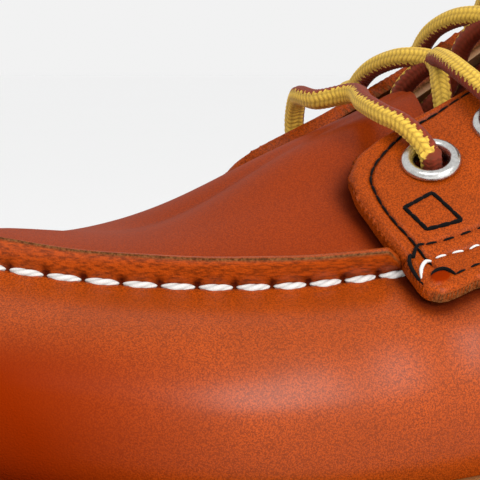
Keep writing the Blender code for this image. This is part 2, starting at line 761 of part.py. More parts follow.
def eyelet_mesh(depth):
    """Profile of an eyelet, down its outer side and up its bore; its seat is z = 0."""
    flange, barrel, bore = EYELET_FLANGE / 2, EYELET_BARREL / 2, EYELET_BORE / 2
    brim = flange - bore
    profile = [(bore + 0.3 * brim, EYELET_DOME), (bore + 0.8 * brim, 0.8 * EYELET_DOME),
               (flange, CLEARANCE), (barrel, CLEARANCE), (barrel, -depth), (bore, -depth),
               (bore, 0.55 * EYELET_DOME)]
    mesh = bpy.data.meshes.new("eyelet")
    bm = bmesh.new()
    corners = [bm.verts.new((x, 0, z)) for x, z in profile]
    for here, there in zip(corners, corners[1:] + corners[:1]):
        bm.edges.new((here, there))
    bm.to_mesh(mesh)
    bm.free()
    return mesh


def make_eyelets(collection):
    made = []
    for name, middle, facing, seat in eyelet_places():
        eyelet = add_object(name, eyelet_mesh(seat + WALL + CLEARANCE), "eyelet metal", collection)
        eyelet.location = middle
        eyelet.rotation_mode = "QUATERNION"
        eyelet.rotation_quaternion = facing.to_track_quat("Z", "Y")
        screw = eyelet.modifiers.new("Turned", "SCREW")
        screw.steps = screw.render_steps = 10
        screw.use_merge_vertices = True
        screw.merge_threshold = 0.00001
        made.append(eyelet)
    return made


def lace_route(route, first, side):
    """Smooth middle line of a strand whose lower eyelet is number first."""
    radius = LACE_DIAMETER / 2
    share = FIRST_EYELET - (first + route["along"]) * EYELET_PITCH / SOLE_LENGTH
    across = side * route["across"] * (FACING_GAP + EYELET_INSET)
    turn = np.where(across < 0, column(share), 2 - column(share))
    _, high = reach(turn)
    on_facing = stand_off(turn, (high - np.abs(across))[:, None])[:, 0] + QUARTER_THICKNESS
    on_facing = on_facing + 2 * CLEARANCE + radius
    under_wall = WALL + 2 * CLEARANCE + radius
    level = route["level"]
    knots = over_spine(share, across, level * np.where(level > 0, on_facing, under_wall))
    run = np.concatenate([[0], np.cumsum(np.linalg.norm(np.diff(knots, axis=0), axis=1))])
    fine = np.linspace(0, run[-1], len(knots) + 1)
    return np.stack([cubic(fine, run, knots[:, axis]) for axis in range(3)], axis=1)


def lace_tube(name, points, collection):
    """A round cord along points, turned into a closed mesh."""
    curve = bpy.data.curves.new(name, "CURVE")
    curve.dimensions = "3D"
    curve.bevel_depth = LACE_DIAMETER / 2
    curve.bevel_resolution = 2
    curve.use_fill_caps = True
    spline = curve.splines.new("POLY")
    spline.points.add(len(points) - 1)
    for corner, point in zip(spline.points, points):
        corner.co = (*point, 1)
    drawn = bpy.data.objects.new(name, curve)
    collection.objects.link(drawn)
    depsgraph = bpy.context.evaluated_depsgraph_get()
    mesh = bpy.data.meshes.new_from_object(drawn.evaluated_get(depsgraph))
    bpy.data.objects.remove(drawn)
    bm = bmesh.new()
    bm.from_mesh(mesh)
    bmesh.ops.remove_doubles(bm, verts=bm.verts, dist=1e-5)
    bm.to_mesh(mesh)
    bm.free()
    return add_object(name, mesh, "lace cord", collection)


def make_laces(collection, helpers):
    lace_tube("lace_bar", lace_route(BAR, 0, 1), collection)
    for i in range(EYELET_PAIRS - 1):
        strand = lace_tube(f"lace_crossing_{i + 1}", lace_route(CROSSING, i, 1), collection)
        other = lace_tube(f"lace_strand_{i + 1}", lace_route(CROSSING, i, -1), helpers)
        other.hide_render = True
        other.display_type = "WIRE"
        join = strand.modifiers.new("Crossing", "BOOLEAN")
        join.operation = "UNION"
        join.solver = "EXACT"
        join.object = other


def clear_scene():
    for old in list(bpy.data.objects):
        bpy.data.objects.remove(old, do_unlink=True)


def add_collection(name):
    made = bpy.data.collections.new(name)
    bpy.context.scene.collection.children.link(made)
    return made


def main():
    clear_scene()
    shoe = add_collection("Moc toe oxford")
    helpers = add_collection("Cutters")
    holes = make_eyelet_cutter(helpers)
    make_outsole(shoe)
    make_welt(shoe)
    make_insole(shoe)
    make_upper(shoe, holes)
    make_quarter("quarter_outer", -1, shoe, holes)
    make_quarter("quarter_inner", 1, shoe, holes)
    make_backstay(shoe)
    make_tongue(shoe)
    make_eyelets(shoe)
    make_laces(shoe, helpers)


main()
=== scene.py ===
"""Looks of a moc toe oxford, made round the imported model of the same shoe.

The toe points to -X, the outer side of the foot is -Y and +Z is up, in metres. A place
on the leather is a turn (0 heel, 1 toe, 2 heel again, by the outer side first) and a
distance up from the moc seam, over the surface.
"""
import math

import bmesh
import bpy
import numpy as np
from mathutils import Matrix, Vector


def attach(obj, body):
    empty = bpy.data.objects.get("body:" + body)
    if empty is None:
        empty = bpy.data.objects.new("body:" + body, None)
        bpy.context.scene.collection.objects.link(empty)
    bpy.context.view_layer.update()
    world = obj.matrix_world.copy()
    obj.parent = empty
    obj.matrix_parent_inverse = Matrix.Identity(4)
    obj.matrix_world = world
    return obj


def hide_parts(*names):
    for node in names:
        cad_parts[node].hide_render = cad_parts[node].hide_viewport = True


bl_info = {
    "name": "Moc toe oxford",
    "version": (1, 0, 0),
    "blender": (4, 5, 0),
    "location": "View3D > Sidebar > Shoe",
    "description": "Leather, stitches, eyelets and lace of a moc toe oxford",
    "category": "Object",
}

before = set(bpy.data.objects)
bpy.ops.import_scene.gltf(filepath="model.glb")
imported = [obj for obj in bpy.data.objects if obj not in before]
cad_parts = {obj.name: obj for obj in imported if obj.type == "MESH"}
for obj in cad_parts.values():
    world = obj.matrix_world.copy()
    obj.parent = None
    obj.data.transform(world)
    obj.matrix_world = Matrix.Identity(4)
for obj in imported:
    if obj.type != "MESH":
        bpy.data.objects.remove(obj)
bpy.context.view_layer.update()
MM = 0.001

# Driving sizes, in metres
SOLE_LENGTH = 0.302
SOLE_WIDTH = 0.108
HEEL_HEIGHT = 0.031  # outsole under the heel
FOREPART = 0.015  # outsole under the ball
TOE_SPRING = 0.011
UPPER_HEIGHT = 0.081  # from the outsole's top at the heel to the instep's top
WALL = 0.0022
CLEARANCE = 0.0003
LAYER_GAP = 0.0007  # between two curved layers of leather
WELT_THICKNESS = 0.003
WELT_INSET = 0.0005
SEAM_HEIGHT = 0.0047  # the raised moc seam: two leaves of leather on edge
SEAM_WIDTH = 0.004
QUARTER_THICKNESS = 0.0022
LOBE_LIFT = 0.0012  # how far the front of a facing stands off the plug
HEEL_TUCK = 0.003  # the heel is drawn in from the rings' ends
FACING_GAP = 0.017  # from the spine to a facing's edge, over the surface
BACKSTAY_WIDTH = 0.024
BACKSTAY_THICKNESS = 0.0018
TONGUE_THICKNESS = 0.0022
TONGUE_HALF_WIDTH = 0.031
TONGUE_RISE = 0.026  # past the top of the facings
EYELET_FLANGE = 0.0096
EYELET_BARREL = 0.0062
EYELET_BORE = 0.0055
EYELET_DOME = 0.0012
EYELET_PITCH = 0.0142
EYELET_INSET = 0.0129  # from a facing's edge to the eyelets' centres
LACE_DIAMETER = 0.0034
SOLE_CHAMFER = 0.0015
SOLE_GROOVE = 0.0014
PROBE = 0.001  # step along the surface that finds its direction
PROBE_SIDE = 0.0015  # how far from a corner the directions of its two sides are taken

# Places along the shoe, as shares of the way from heel to toe
SPRING_START = 0.72
THROAT_FRONT = 0.714  # the opening ends at the spine
THROAT_BACK = 0.700  # and is at its full width
CORNER_START = 0.52
CORNER_FULL = 0.66
SPINE_START = 0.50
FIRST_EYELET = 0.704
TONGUE_FRONT = 0.722
TONGUE_BACK = 0.500
TOE_TIP = 0.03  # how near the toe's middle, as a turn, the surface's crown is a point
EYELET_PAIRS = 5
RIDGE_END = 0.7225  # the raised seam sinks into the wall under the lobes
RIDGE_FULL = 0.7360  # and has its full height from here on
NOSE_START = 0.7515  # the front end of a lobe is rounded from here
NOSE_END = 0.7568  # to here
LOBE_BACK = 0.700  # from here back a quarter's lower edge is cut and not rolled

# How fast the lace's two colours and a thread's plies turn, in radians for each metre
LACE_TWIST = 9.0
BAR_TWIST = -16.0
PLY_TWIST = 900.0

# Border of a quarter, and the lobe's front end
BORDER_ROLL = 0.00115  # width of its rolled edge
BORDER_PUFF = 0.0003  # how far it rises over the flat of the leather
BORDER_GROOVE = 0.00042  # how deep its edge stitches draw it in
THREAD_GROOVE = 0.00016  # and the rows of thread behind them
NOSE_MIDDLE = 0.25  # height of the front end over the moc seam, in upper heights

# Pad at the outer lobe's lower corner: share of the way to the toe, half length in that
# share, distance up from the seam and half height in mm, how far it rises
PAD_SHARE, PAD_LENGTH = 0.6995, 0.0062
PAD_UP, PAD_HALF = -8.0, 1.5
PAD_RISE = 0.0006

# Width of the mesh's columns along the seam, and where it changes towards heel and toe
FINE_COLUMN = 0.00055
HEEL_COLUMN = 0.0022
TOE_COLUMN = 0.0009
FINE_START = 0.690
FINE_END = 0.93

SECTION_SAMPLES = 12


def table(columns, rows):
    """Rows of numbers as one array for each named column."""
    return dict(zip(columns.split(), np.array(rows, dtype=float).T))


# Sole outline: half widths and centre line in sole widths (+ is the inner side),
# wedge as the share of what the heel is thicker than the forepart
SOLE = table("share half centre wedge", [
    (0.0, 0.352, 0.000, 1.00),
    (0.1, 0.352, 0.000, 1.00),
    (0.2, 0.355, 0.000, 0.94),
    (0.3, 0.352, -0.006, 0.81),
    (0.4, 0.354, -0.020, 0.62),
    (0.5, 0.382, -0.034, 0.38),
    (0.6, 0.432, -0.036, 0.16),
    (0.7, 0.480, -0.022, 0.03),
    (0.8, 0.502, 0.000, 0.00),
    (0.9, 0.502, 0.028, 0.00),
    (1.0, 0.502, 0.062, 0.00),
])

# Side of the outsole from the floor up: height share, inset in grooves
SOLE_SIDE = table("height inset", [
    (0.00, 0.9),
    (0.08, 0.1),
    (0.66, 0.0),
    (0.70, 1.0),
    (0.76, 1.0),
    (0.80, 0.0),
    (1.00, 0.2),
])

# Rings of the last: their ends in sole lengths (heel +, toe -), the shares of the
# ring that round its heel and toe, and the power of the toe's curve
RINGS = "feather low bulge high seam inner shoulder top"
RING_ENDS = table("heel toe heel_round toe_round toe_power", [
    (0.477, -0.470, 0.13, 0.240, 2.25),
    (0.482, -0.478, 0.13, 0.240, 2.30),
    (0.488, -0.482, 0.13, 0.235, 2.35),
    (0.489, -0.469, 0.13, 0.235, 2.30),
    (0.485, -0.431, 0.13, 0.230, 2.30),
    (0.476, -0.411, 0.13, 0.220, 2.20),
    (0.465, -0.384, 0.13, 0.200, 2.10),
    (0.452, -0.344, 0.13, 0.000, 2.00),
])
HEEL_POWER = 2.2

# Half widths of the rings, in sole widths
WIDTHS = table("share " + RINGS, [
    (0.0, 0.292, 0.304, 0.319, 0.324, 0.319, 0.301, 0.282, 0.269),
    (0.1, 0.292, 0.304, 0.319, 0.324, 0.319, 0.301, 0.282, 0.269),
    (0.2, 0.296, 0.309, 0.324, 0.329, 0.322, 0.306, 0.287, 0.273),
    (0.3, 0.289, 0.304, 0.324, 0.330, 0.320, 0.298, 0.273, 0.250),
    (0.4, 0.292, 0.310, 0.335, 0.339, 0.324, 0.292, 0.250, 0.140),
    (0.5, 0.319, 0.343, 0.372, 0.372, 0.335, 0.282, 0.208, 0.000),
    (0.6, 0.369, 0.394, 0.422, 0.411, 0.335, 0.273, 0.181, 0.000),
    (0.7, 0.415, 0.443, 0.465, 0.430, 0.324, 0.259, 0.162, 0.000),
    (0.8, 0.435, 0.463, 0.481, 0.431, 0.321, 0.245, 0.153, 0.000),
    (0.9, 0.435, 0.463, 0.476, 0.424, 0.294, 0.236, 0.148, 0.000),
    (1.0, 0.435, 0.463, 0.472, 0.421, 0.293, 0.231, 0.148, 0.000),
])

# Heights of the rings over the outsole's top, in upper heights
HEIGHTS = table("share " + RINGS, [
    (0.0, 0.000, 0.083, 0.200, 0.231, 0.404, 0.601, 0.786, 0.996),
    (0.1, 0.000, 0.083, 0.200, 0.231, 0.404, 0.602, 0.788, 0.998),
    (0.2, 0.000, 0.083, 0.200, 0.231, 0.403, 0.601, 0.799, 1.010),
    (0.3, 0.000, 0.083, 0.200, 0.237, 0.407, 0.599, 0.808, 1.030),
    (0.4, 0.000, 0.083, 0.200, 0.254, 0.422, 0.624, 0.845, 1.058),
    (0.5, 0.000, 0.083, 0.200, 0.281, 0.446, 0.659, 0.859, 1.074),
    (0.6, 0.000, 0.083, 0.200, 0.311, 0.462, 0.617, 0.760, 0.912),
    (0.7, 0.000, 0.083, 0.200, 0.324, 0.420, 0.532, 0.637, 0.749),
    (0.8, 0.000, 0.083, 0.200, 0.321, 0.403, 0.471, 0.543, 0.636),
    (0.9, 0.000, 0.083, 0.200, 0.307, 0.399, 0.428, 0.463, 0.493),
    (1.0, 0.000, 0.083, 0.200, 0.284, 0.413, 0.428, 0.451, 0.470),
])

# Collar and throat: how far the opening's edge lies below the last's top line,
# in upper heights; the throat's long edges follow FACING_GAP instead
COLLAR = table("share drop", [
    (0.00, 0.190),
    (0.06, 0.205),
    (0.14, 0.300),
    (0.22, 0.395),
    (0.30, 0.430),
    (0.38, 0.380),
    (0.43, 0.265),
    (0.47, 0.200),
])

# Outline of a quarter's lobe, front to back: heights over the moc seam of its lower
# and upper edge, in upper heights
LOBE = table("share lower upper", [
    (0.7560, 0.222, 0.275),
    (0.7515, 0.176, 0.302),
    (0.7450, 0.128, 0.322),
    (0.7370, 0.074, 0.340),
    (0.7270, 0.018, 0.354),
    (0.7170, -0.052, 0.366),
    (0.7080, -0.114, 0.378),
    (0.7000, -0.134, 0.390),
    (0.6760, -0.110, 0.400),
])

# Lower edge of a quarter behind its lobe: height over the moc seam in upper heights,
# down to where it goes behind the welt
HEM = table("share lower", [
    (0.676, -0.110),
    (0.640, -0.112),
    (0.590, -0.165),
    (0.540, -0.255),
    (0.480, -0.400),
    (0.430, -0.560),
])

# Half widths of the tongue in its greatest half width
TONGUE = table("along half", [
    (0.00, 0.42),
    (0.12, 0.48),
    (0.25, 0.70),
    (0.50, 0.88),
    (0.80, 0.98),
    (1.00, 1.00),
])
# The tongue's rounded end, past the facings
TONGUE_TIP = table("rise width flat", [
    (0.30, 1.02, 0.06),
    (0.62, 1.03, 0.16),
    (0.88, 0.99, 0.25),
    (1.00, 0.88, 0.30),
])

# Route of a lace strand from under one facing to the next eyelet of the other:
# along in eyelet pitches, across in the eyelets' distance from the spine,
# level: -1 lies under the wall, 1 lies on the facing
CROSSING = table("along across level", [
    (0.01, -0.99, -1.02),
    (0.07, -0.80, -1.00),
    (0.13, -0.66, -1.00),
    (0.19, -0.53, -0.97),
    (0.24, -0.40, -0.60),
    (0.28, -0.24, -0.06),
    (0.34, 0.00, 0.34),
    (0.41, 0.20, 0.60),
    (0.51, 0.38, 0.84),
    (0.62, 0.54, 1.02),
    (0.74, 0.68, 1.10),
    (0.88, 0.84, 1.14),
    (0.99, 0.97, 1.36),
])
BAR = table("along across level", [
    (0.00, -0.97, 1.36),
    (-0.12, -0.86, 1.16),
    (-0.30, -0.74, 1.06),
    (-0.56, -0.56, 1.02),
    (-0.82, -0.30, 0.74),
    (-0.94, 0.00, 0.60),
    (-0.90, 0.26, 0.72),
    (-0.62, 0.46, 1.16),
    (-0.34, 0.62, 1.34),
    (-0.12, 0.80, 1.24),
    (0.00, 0.97, 1.36),
])


def hermite(u, start, end, slope_in, slope_out):
    """Smooth run from start to end with given slopes, for u from 0 to 1."""
    return ((2 * u**3 - 3 * u**2 + 1) * start + (u**3 - 2 * u**2 + u) * slope_in
            + (3 * u**2 - 2 * u**3) * end + (u**3 - u**2) * slope_out)


def cubic(at, places, values):
    """Smooth curve through a table's rows."""
    at = np.clip(at, places[0], places[-1])
    slopes = np.gradient(values, places)
    row = np.clip(np.searchsorted(places, at, side="right") - 1, 0, len(places) - 2)
    step = places[row + 1] - places[row]
    return hermite((at - places[row]) / step, values[row], values[row + 1],
                   step * slopes[row], step * slopes[row + 1])


def ease(value, start, end):
    """0 before start, 1 past end, with soft ends."""
    u = np.clip((value - start) / (end - start), 0, 1)
    return u * u * (3 - 2 * u)


def travel(t):
    """Share of the way from heel to toe at a column."""
    return (1 - np.cos(np.pi * np.asarray(t, dtype=float))) / 2


def column(share):
    """The column that lies at a share of the way from heel to toe."""
    return np.arccos(1 - 2 * np.asarray(share, dtype=float)) / np.pi


def rounding(share, heel, toe, toe_power):
    """How a ring narrows to nothing at its heel and its toe."""
    behind = np.clip(1 - share / heel, 0, 1) if heel else np.zeros_like(share)
    ahead = np.clip((share - 1 + toe) / toe, 0, 1) if toe else np.zeros_like(share)
    return (1 - behind**HEEL_POWER) ** (1 / HEEL_POWER) * (1 - ahead**toe_power) ** (1 / toe_power)


def sole_share(x):
    """Share of the way from the sole's heel end to its toe end."""
    return np.clip(0.5 - x / SOLE_LENGTH, 0, 1)


def sole_centre(x):
    """Where the middle line of the sole lies in plan."""
    return cubic(sole_share(x), SOLE["share"], SOLE["centre"]) * SOLE_WIDTH


def sole_bottom(x):
    """Height of the sole's underside, which lifts at the toe."""
    past = np.clip((sole_share(x) - SPRING_START) / (1 - SPRING_START), 0, 1)
    return TOE_SPRING * past**2


def sole_top(x):
    """Height of the sole's upper face."""
    wedge = cubic(sole_share(x), SOLE["share"], SOLE["wedge"])
    return sole_bottom(x) + FOREPART + (HEEL_HEIGHT - FOREPART) * wedge


def ring_points(index, name, t, side):
    """Points of one ring on one side of the last."""
    ends = {key: values[index] for key, values in RING_ENDS.items()}
    share = travel(t)
    x = SOLE_LENGTH * (ends["heel"] + (ends["toe"] - ends["heel"]) * share)
    x = x - HEEL_TUCK * (1 - ease(share, 0, 0.3))
    half = SOLE_WIDTH * np.maximum(cubic(share, WIDTHS["share"], WIDTHS[name]), 0)
    if name == "top":
        half = np.where(share >= SPINE_START, 0, half)
    half = half * rounding(share, ends["heel_round"], ends["toe_round"], ends["toe_power"])
    z = sole_top(x) + CLEARANCE + UPPER_HEIGHT * cubic(share, HEIGHTS["share"], HEIGHTS[name])
    return np.stack([x, sole_centre(x) + side * half, z], axis=-1)


def unit(vectors):
    """Vectors of length 1 along the given ones."""
    return vectors / np.maximum(np.linalg.norm(vectors, axis=-1, keepdims=True), 1e-12)


def run_of(points):
    """Distance along a line at each of its points."""
    return np.concatenate([[0], np.cumsum(np.linalg.norm(np.diff(points, axis=0), axis=1))])


def bell(value, width):
    """1 where a value is nothing, falling softly to 0 past a width."""
    return np.exp(-(value / width) ** 2)


def rolled(gap, radius):
    """Height of a rolled edge: 0 at the edge, 1 from a radius inwards."""
    return np.sqrt(np.clip(1 - (1 - np.clip(gap / radius, 0, 1)) ** 2, 0, 1))


def half_sections(t, side):
    """Fine section curves from the feather edge to the top, with the seam's sample."""
    names = RINGS.split()
    seam = names.index("seam")
    knots = np.stack([ring_points(i, name, t, side) for i, name in enumerate(names)], axis=1)
    chord = np.diff(knots, axis=1)
    length = np.maximum(np.linalg.norm(chord, axis=2, keepdims=True), 1e-9)
    chord = chord / length
    between = chord[:, :-1] * length[:, 1:] + chord[:, 1:] * length[:, :-1]
    between = between / (length[:, 1:] + length[:, :-1])
    slope = np.concatenate([chord[:, :1], between, chord[:, -1:]], axis=1)
    share = travel(t)[:, None]
    level = ease(share, SPINE_START - 0.2, SPINE_START)
    slope[:, -1] = unit(slope[:, -1] * (1 - level) + unit(chord[:, -1] * (1, 1, 0)) * level)
    corner = np.clip((share - CORNER_START) / (CORNER_FULL - CORNER_START), 0, 1)
    u = np.linspace(0, 1, SECTION_SAMPLES, endpoint=False)[None, :, None]
    pieces = []
    for i in range(len(names) - 1):
        start, end = slope[:, i], slope[:, i + 1]
        if i == seam:
            start = start * (1 - corner) + chord[:, i] * corner
        if i + 1 == seam:
            end = end * (1 - corner) + chord[:, i] * corner
        span = length[:, i, None]
        pieces.append(hermite(u, knots[:, i, None], knots[:, i + 1, None],
                              span * start[:, None], span * end[:, None]))
    return np.concatenate(pieces + [knots[:, -1:]], axis=1), seam * SECTION_SAMPLES


def fold(turn):
    """Column and side (-1 outer, 1 inner) of each turn."""
    turn = np.mod(np.asarray(turn, dtype=float), 2)
    return np.where(turn <= 1, turn, 2 - turn), np.where(turn <= 1, -1.0, 1.0)


def turn_at(share, side):
    """The turn at a share of the way from heel to toe, on a side."""
    return np.where(side < 0, column(share), 2 - column(share))


def sections(turn):
    """Section curves that run on past the spine, their distances from the seam,
    and the distances of the feather edge and of the last's top line."""
    t, side = fold(turn)
    curve, seam = half_sections(t, side)
    over, _ = half_sections(t, -side)
    over = over[:, -2:-2 * SECTION_SAMPLES:-1]
    step = unit(curve[:, -1:] - curve[:, -2:-1]) * np.arange(1, over.shape[1] + 1)[None, :, None] * PROBE
    shut = (travel(t) >= SPINE_START)[:, None, None]
    whole = np.concatenate([curve, np.where(shut, over, curve[:, -1:] + step)], axis=1)
    run = np.cumsum(np.linalg.norm(np.diff(whole, axis=1), axis=2), axis=1)
    run = np.concatenate([np.zeros((len(t), 1)), run], axis=1)
    run = run - run[:, seam:seam + 1]
    return whole, run, run[:, 0], run[:, curve.shape[1] - 1]


def reach(turn):
    """Distances from the seam of the feather edge and of the last's top line."""
    _, _, low, high = sections(np.atleast_1d(turn))
    return low, high


def along(turn, distance):
    """Points at rows of distances up from the seam, one row for each turn."""
    curve, run, _, _ = sections(turn)
    return np.stack([[np.interp(row, run[i], curve[i, :, axis]) for axis in range(3)]
                     for i, row in enumerate(distance)]).transpose(0, 2, 1)


def normals(turn, distance):
    """Outward directions of the last's surface at rows of distances."""
    turn_step = 0.001
    up_step = 0.4 * PROBE
    round_it = along(turn + turn_step, distance) - along(turn - turn_step, distance)
    up_it = along(turn, distance + up_step) - along(turn, distance - up_step)
    return unit(np.cross(up_it, round_it))


def surface(turn, distance, offset=0.0):
    """Points that stand off the last's surface."""
    turn = np.asarray(turn, dtype=float)
    distance = np.asarray(distance, dtype=float)
    _, high = reach(turn)
    near_toe = np.abs(np.mod(turn, 2) - 1) < TOE_TIP
    probe = np.where(near_toe[:, None], np.minimum(distance, high[:, None] - PROBE_SIDE), distance)
    offset = np.asarray(offset, dtype=float)
    return along(turn, distance) + normals(turn, probe) * np.broadcast_to(offset, distance.shape)[..., None]


def over_welt(turn, stand):
    """Distance up from the seam where leather that stands out this far clears the welt."""
    low, _ = reach(turn)
    facing = normals(turn, low[:, None])[:, 0]
    fall = stand * np.maximum(-facing[:, 2], 0)
    return low + (WELT_THICKNESS + 2 * CLEARANCE + fall) / np.hypot(facing[:, 0], facing[:, 1])


def collar_drop(share):
    """Distance of the opening's edge below the last's top line."""
    rear = cubic(share, COLLAR["share"], COLLAR["drop"]) * UPPER_HEIGHT
    blend = ease(share, COLLAR["share"][-1] - 0.02, COLLAR["share"][-1] + 0.05)
    drop = rear * (1 - blend) + FACING_GAP * blend
    return drop * (1 - ease(share, THROAT_BACK, THROAT_FRONT))


def edge(turn):
    """Distance from the seam of the opening's edge, or of the spine ahead of it."""
    t, _ = fold(turn)
    _, high = reach(turn)
    return high - collar_drop(travel(t))


def seam_ring(end=1.0, count=3000):
    """Columns from the heel on, with their distances along the moc seam."""
    fine = np.linspace(0, end, count)
    return fine, run_of(ring_points(4, "seam", fine, -1.0))


def heel_column(distance):
    """The column that lies a distance round the heel from its middle."""
    fine, run = seam_ring(0.4, 200)
    return float(np.interp(distance, run, fine))


def outline(turn, inset):
    """The sole's outline in plan, drawn in by an inset."""
    t, side = fold(turn)
    share = travel(t)
    x = SOLE_LENGTH * (0.5 - share)
    half = SOLE_WIDTH * cubic(share, SOLE["share"], SOLE["half"])
    half = half * rounding(share, *(RING_ENDS[key][0] for key in ("heel_round", "toe_round", "toe_power")))
    plan = np.stack([x, sole_centre(x) + side * half], axis=-1)
    way = unit(np.roll(plan, -1, axis=0) - np.roll(plan, 1, axis=0))
    return plan + inset * np.stack([way[:, 1], -way[:, 0]], axis=-1)


def stand_off(turn, distance):
    """How far a quarter's inner face stands off the last's surface."""
    t, _ = fold(turn)
    front = ease(travel(t), FIRST_EYELET - 3 * EYELET_PITCH / SOLE_LENGTH, FIRST_EYELET)[:, None]
    return LAYER_GAP + LOBE_LIFT * front * ease(distance, -0.05 * UPPER_HEIGHT, 0.36 * UPPER_HEIGHT)


def over_spine(share, across, offset):
    """Points over the instep: across is measured over the surface from the spine,
    - to the outer side; offset is along the surface's outward direction."""
    share, across, offset = (np.atleast_1d(values) for values in (share, across, offset))
    turn = turn_at(share, across)
    _, high = reach(turn)
    return surface(turn, (high - np.abs(across))[:, None], offset[:, None])[:, 0]


# Seam and band: across the raised seam (distance up from the seam in seam widths,
# height in seam heights), from the wall over both leaves to the plug
RIDGE = table("across height raw", [
    (-0.50, 0.00, 0.0),
    (-0.30, 0.03, 0.0),
    (-0.14, 0.03, 0.0),
    (-0.04, -0.03, 0.0),
    (0.02, -0.07, 0.0),
    (0.06, 0.02, 0.0),
    (0.08, 0.12, 0.0),
    (0.075, 0.24, 0.0),
    (0.06, 0.38, 0.0),
    (0.045, 0.52, 0.0),
    (0.04, 0.66, 0.0),
    (0.045, 0.79, 0.0),
    (0.06, 0.885, 0.0),
    (0.075, 0.93, 0.5),
    (0.11, 0.985, 1.0),
    (0.16, 1.00, 0.5),
    (0.20, 0.998, 0.0),
    (0.30, 0.97, 0.0),
    (0.42, 0.92, 0.0),
    (0.48, 0.84, 0.0),
    (0.51, 0.74, 0.0),
    (0.54, 0.81, 0.0),
    (0.60, 0.85, 0.0),
    (0.72, 0.80, 0.0),
    (0.84, 0.73, 0.3),
    (0.90, 0.64, 0.2),
    (0.92, 0.50, 0.0),
    (0.93, 0.32, 0.0),
    (0.95, 0.15, 0.0),
    (0.99, 0.03, 0.0),
    (1.06, -0.04, 0.0),
    (1.18, -0.01, 0.0),
])

# Soft troughs (-) and ridges (+) in the leather: share of the way to the toe, height
# over the seam in upper heights, half length and half width in mm, slant in degrees,
# rise in mm, side (-1 outer, 1 inner, 0 both)
FOLDS = table("share height long wide slant rise side", [
    (0.690, -0.20, 15.0, 4.0, 62.0, -0.35, 0),
    (0.665, -0.22, 14.0, 3.5, 66.0, 0.25, 0),
    (0.640, -0.24, 15.0, 4.0, 70.0, -0.30, 0),
    (0.735, -0.23, 13.0, 4.5, 55.0, -0.22, 0),
    (0.770, -0.20, 10.0, 5.0, 40.0, 0.16, 0),
    (0.780, 0.16, 16.0, 4.5, 84.0, -0.30, 0),
    (0.755, 0.20, 16.0, 4.0, 88.0, 0.22, 0),
    (0.360, 0.10, 16.0, 6.0, 25.0, -0.45, 0),
    (0.330, -0.05, 14.0, 6.0, 15.0, -0.30, 0),
    (0.390, 0.02, 12.0, 5.0, 40.0, 0.30, 0),
    (0.160, -0.10, 18.0, 6.0, 8.0, -0.25, 0),
])

# Stitch lines on a quarter, front to back: share and distance up from the seam in mm
EDGE_LINE = table("share up", [
    (0.6560, 32.2),
    (0.6900, 29.4),
    (0.6995, 28.4),
    (0.7090, 27.6),
    (0.7180, 26.4),
    (0.7255, 24.9),
    (0.7330, 22.9),
    (0.7395, 20.4),
    (0.7420, 17.8),
    (0.7395, 14.2),
    (0.7350, 10.7),
    (0.7285, 7.4),
    (0.7215, 4.6),
    (0.7150, 1.6),
    (0.7070, -2.6),
    (0.7000, -5.4),
])
BAR_TACK = table("share up", [
    (0.7235, 10.0),
    (0.7060, 11.6),
    (0.6895, 5.8),
    (0.7110, 5.4),
    (0.7235, 10.0),
])
# Rows of thread across a quarter
ROWS = [(tone, table("share up", rows)) for tone, rows in (
    ("black", [(0.7120, 2.8), (0.6995, 3.0), (0.6885, 3.4), (0.6790, 3.7), (0.6500, 4.0), (0.6000, 3.0),
               (0.5400, 1.0)]),
    ("black", [(0.6900, -7.2), (0.6835, -6.3), (0.6765, -5.5), (0.6500, -5.2), (0.6000, -8.0),
               (0.5400, -14.0)]),
    ("white", [(0.7040, -1.6), (0.6945, -1.0), (0.6845, -0.9), (0.6785, -0.3), (0.6500, 0.0),
               (0.6000, -1.6), (0.5400, -5.5)]),
)]
# Threads that wrap over a lobe's front border at its lower corner, lifted off it in mm
WRAPS = [(tone, table("share up lift", rows)) for tone, rows in (
    ("black", [(0.7125, 2.9, 0.0), (0.7165, 2.7, 0.35), (0.7198, 0.8, 0.5), (0.7196, -2.0, 0.35),
               (0.7150, -5.2, -0.2), (0.7080, -8.6, -0.6)]),
    ("black", [(0.7050, -8.2, -0.3), (0.7030, -6.4, 0.35), (0.6990, -5.9, 0.45), (0.6950, -6.4, 0.4),
               (0.6900, -7.6, 0.1)]),
    ("white", [(0.7060, -2.4, 0.0), (0.7090, -3.0, 0.45), (0.7112, -5.0, 0.4), (0.7100, -7.2, -0.3)]),
)]


def size_setting(name, description, default, low, high):
    """A size that a user would change, given in mm."""
    return bpy.props.FloatProperty(name=name, description=description, default=default * MM,
                                   min=low * MM, max=high * MM, unit="LENGTH", precision=5)


def colour_setting(name, description, *default):
    """A colour that a user would change."""
    return bpy.props.FloatVectorProperty(name=name, description=description, subtype="COLOR",
                                         default=default)


class ShoeSizes(bpy.types.PropertyGroup):
    """Sizes of the stitches and of the grain"""
    stitch_pitch: size_setting("Stitch pitch", "From one moc stitch to the next", 5.68, 3, 12)
    stitch_length: size_setting("Stitch length", "Visible length of a moc stitch", 4.85, 2, 11)
    stitch_thickness: size_setting("Stitch thickness", "Thickness of the moc seam's cord", 1.34, 0.5, 3)
    border_width: size_setting("Border width", "From a quarter's edge to its edge stitches", 2.75, 1, 6)
    thread_thickness: size_setting("Thread thickness", "Thickness of the sewing thread", 0.38, 0.2, 1.2)
    grain_size: size_setting("Grain size", "Width of a pebble of the leather's grain", 0.30, 0.1, 2)


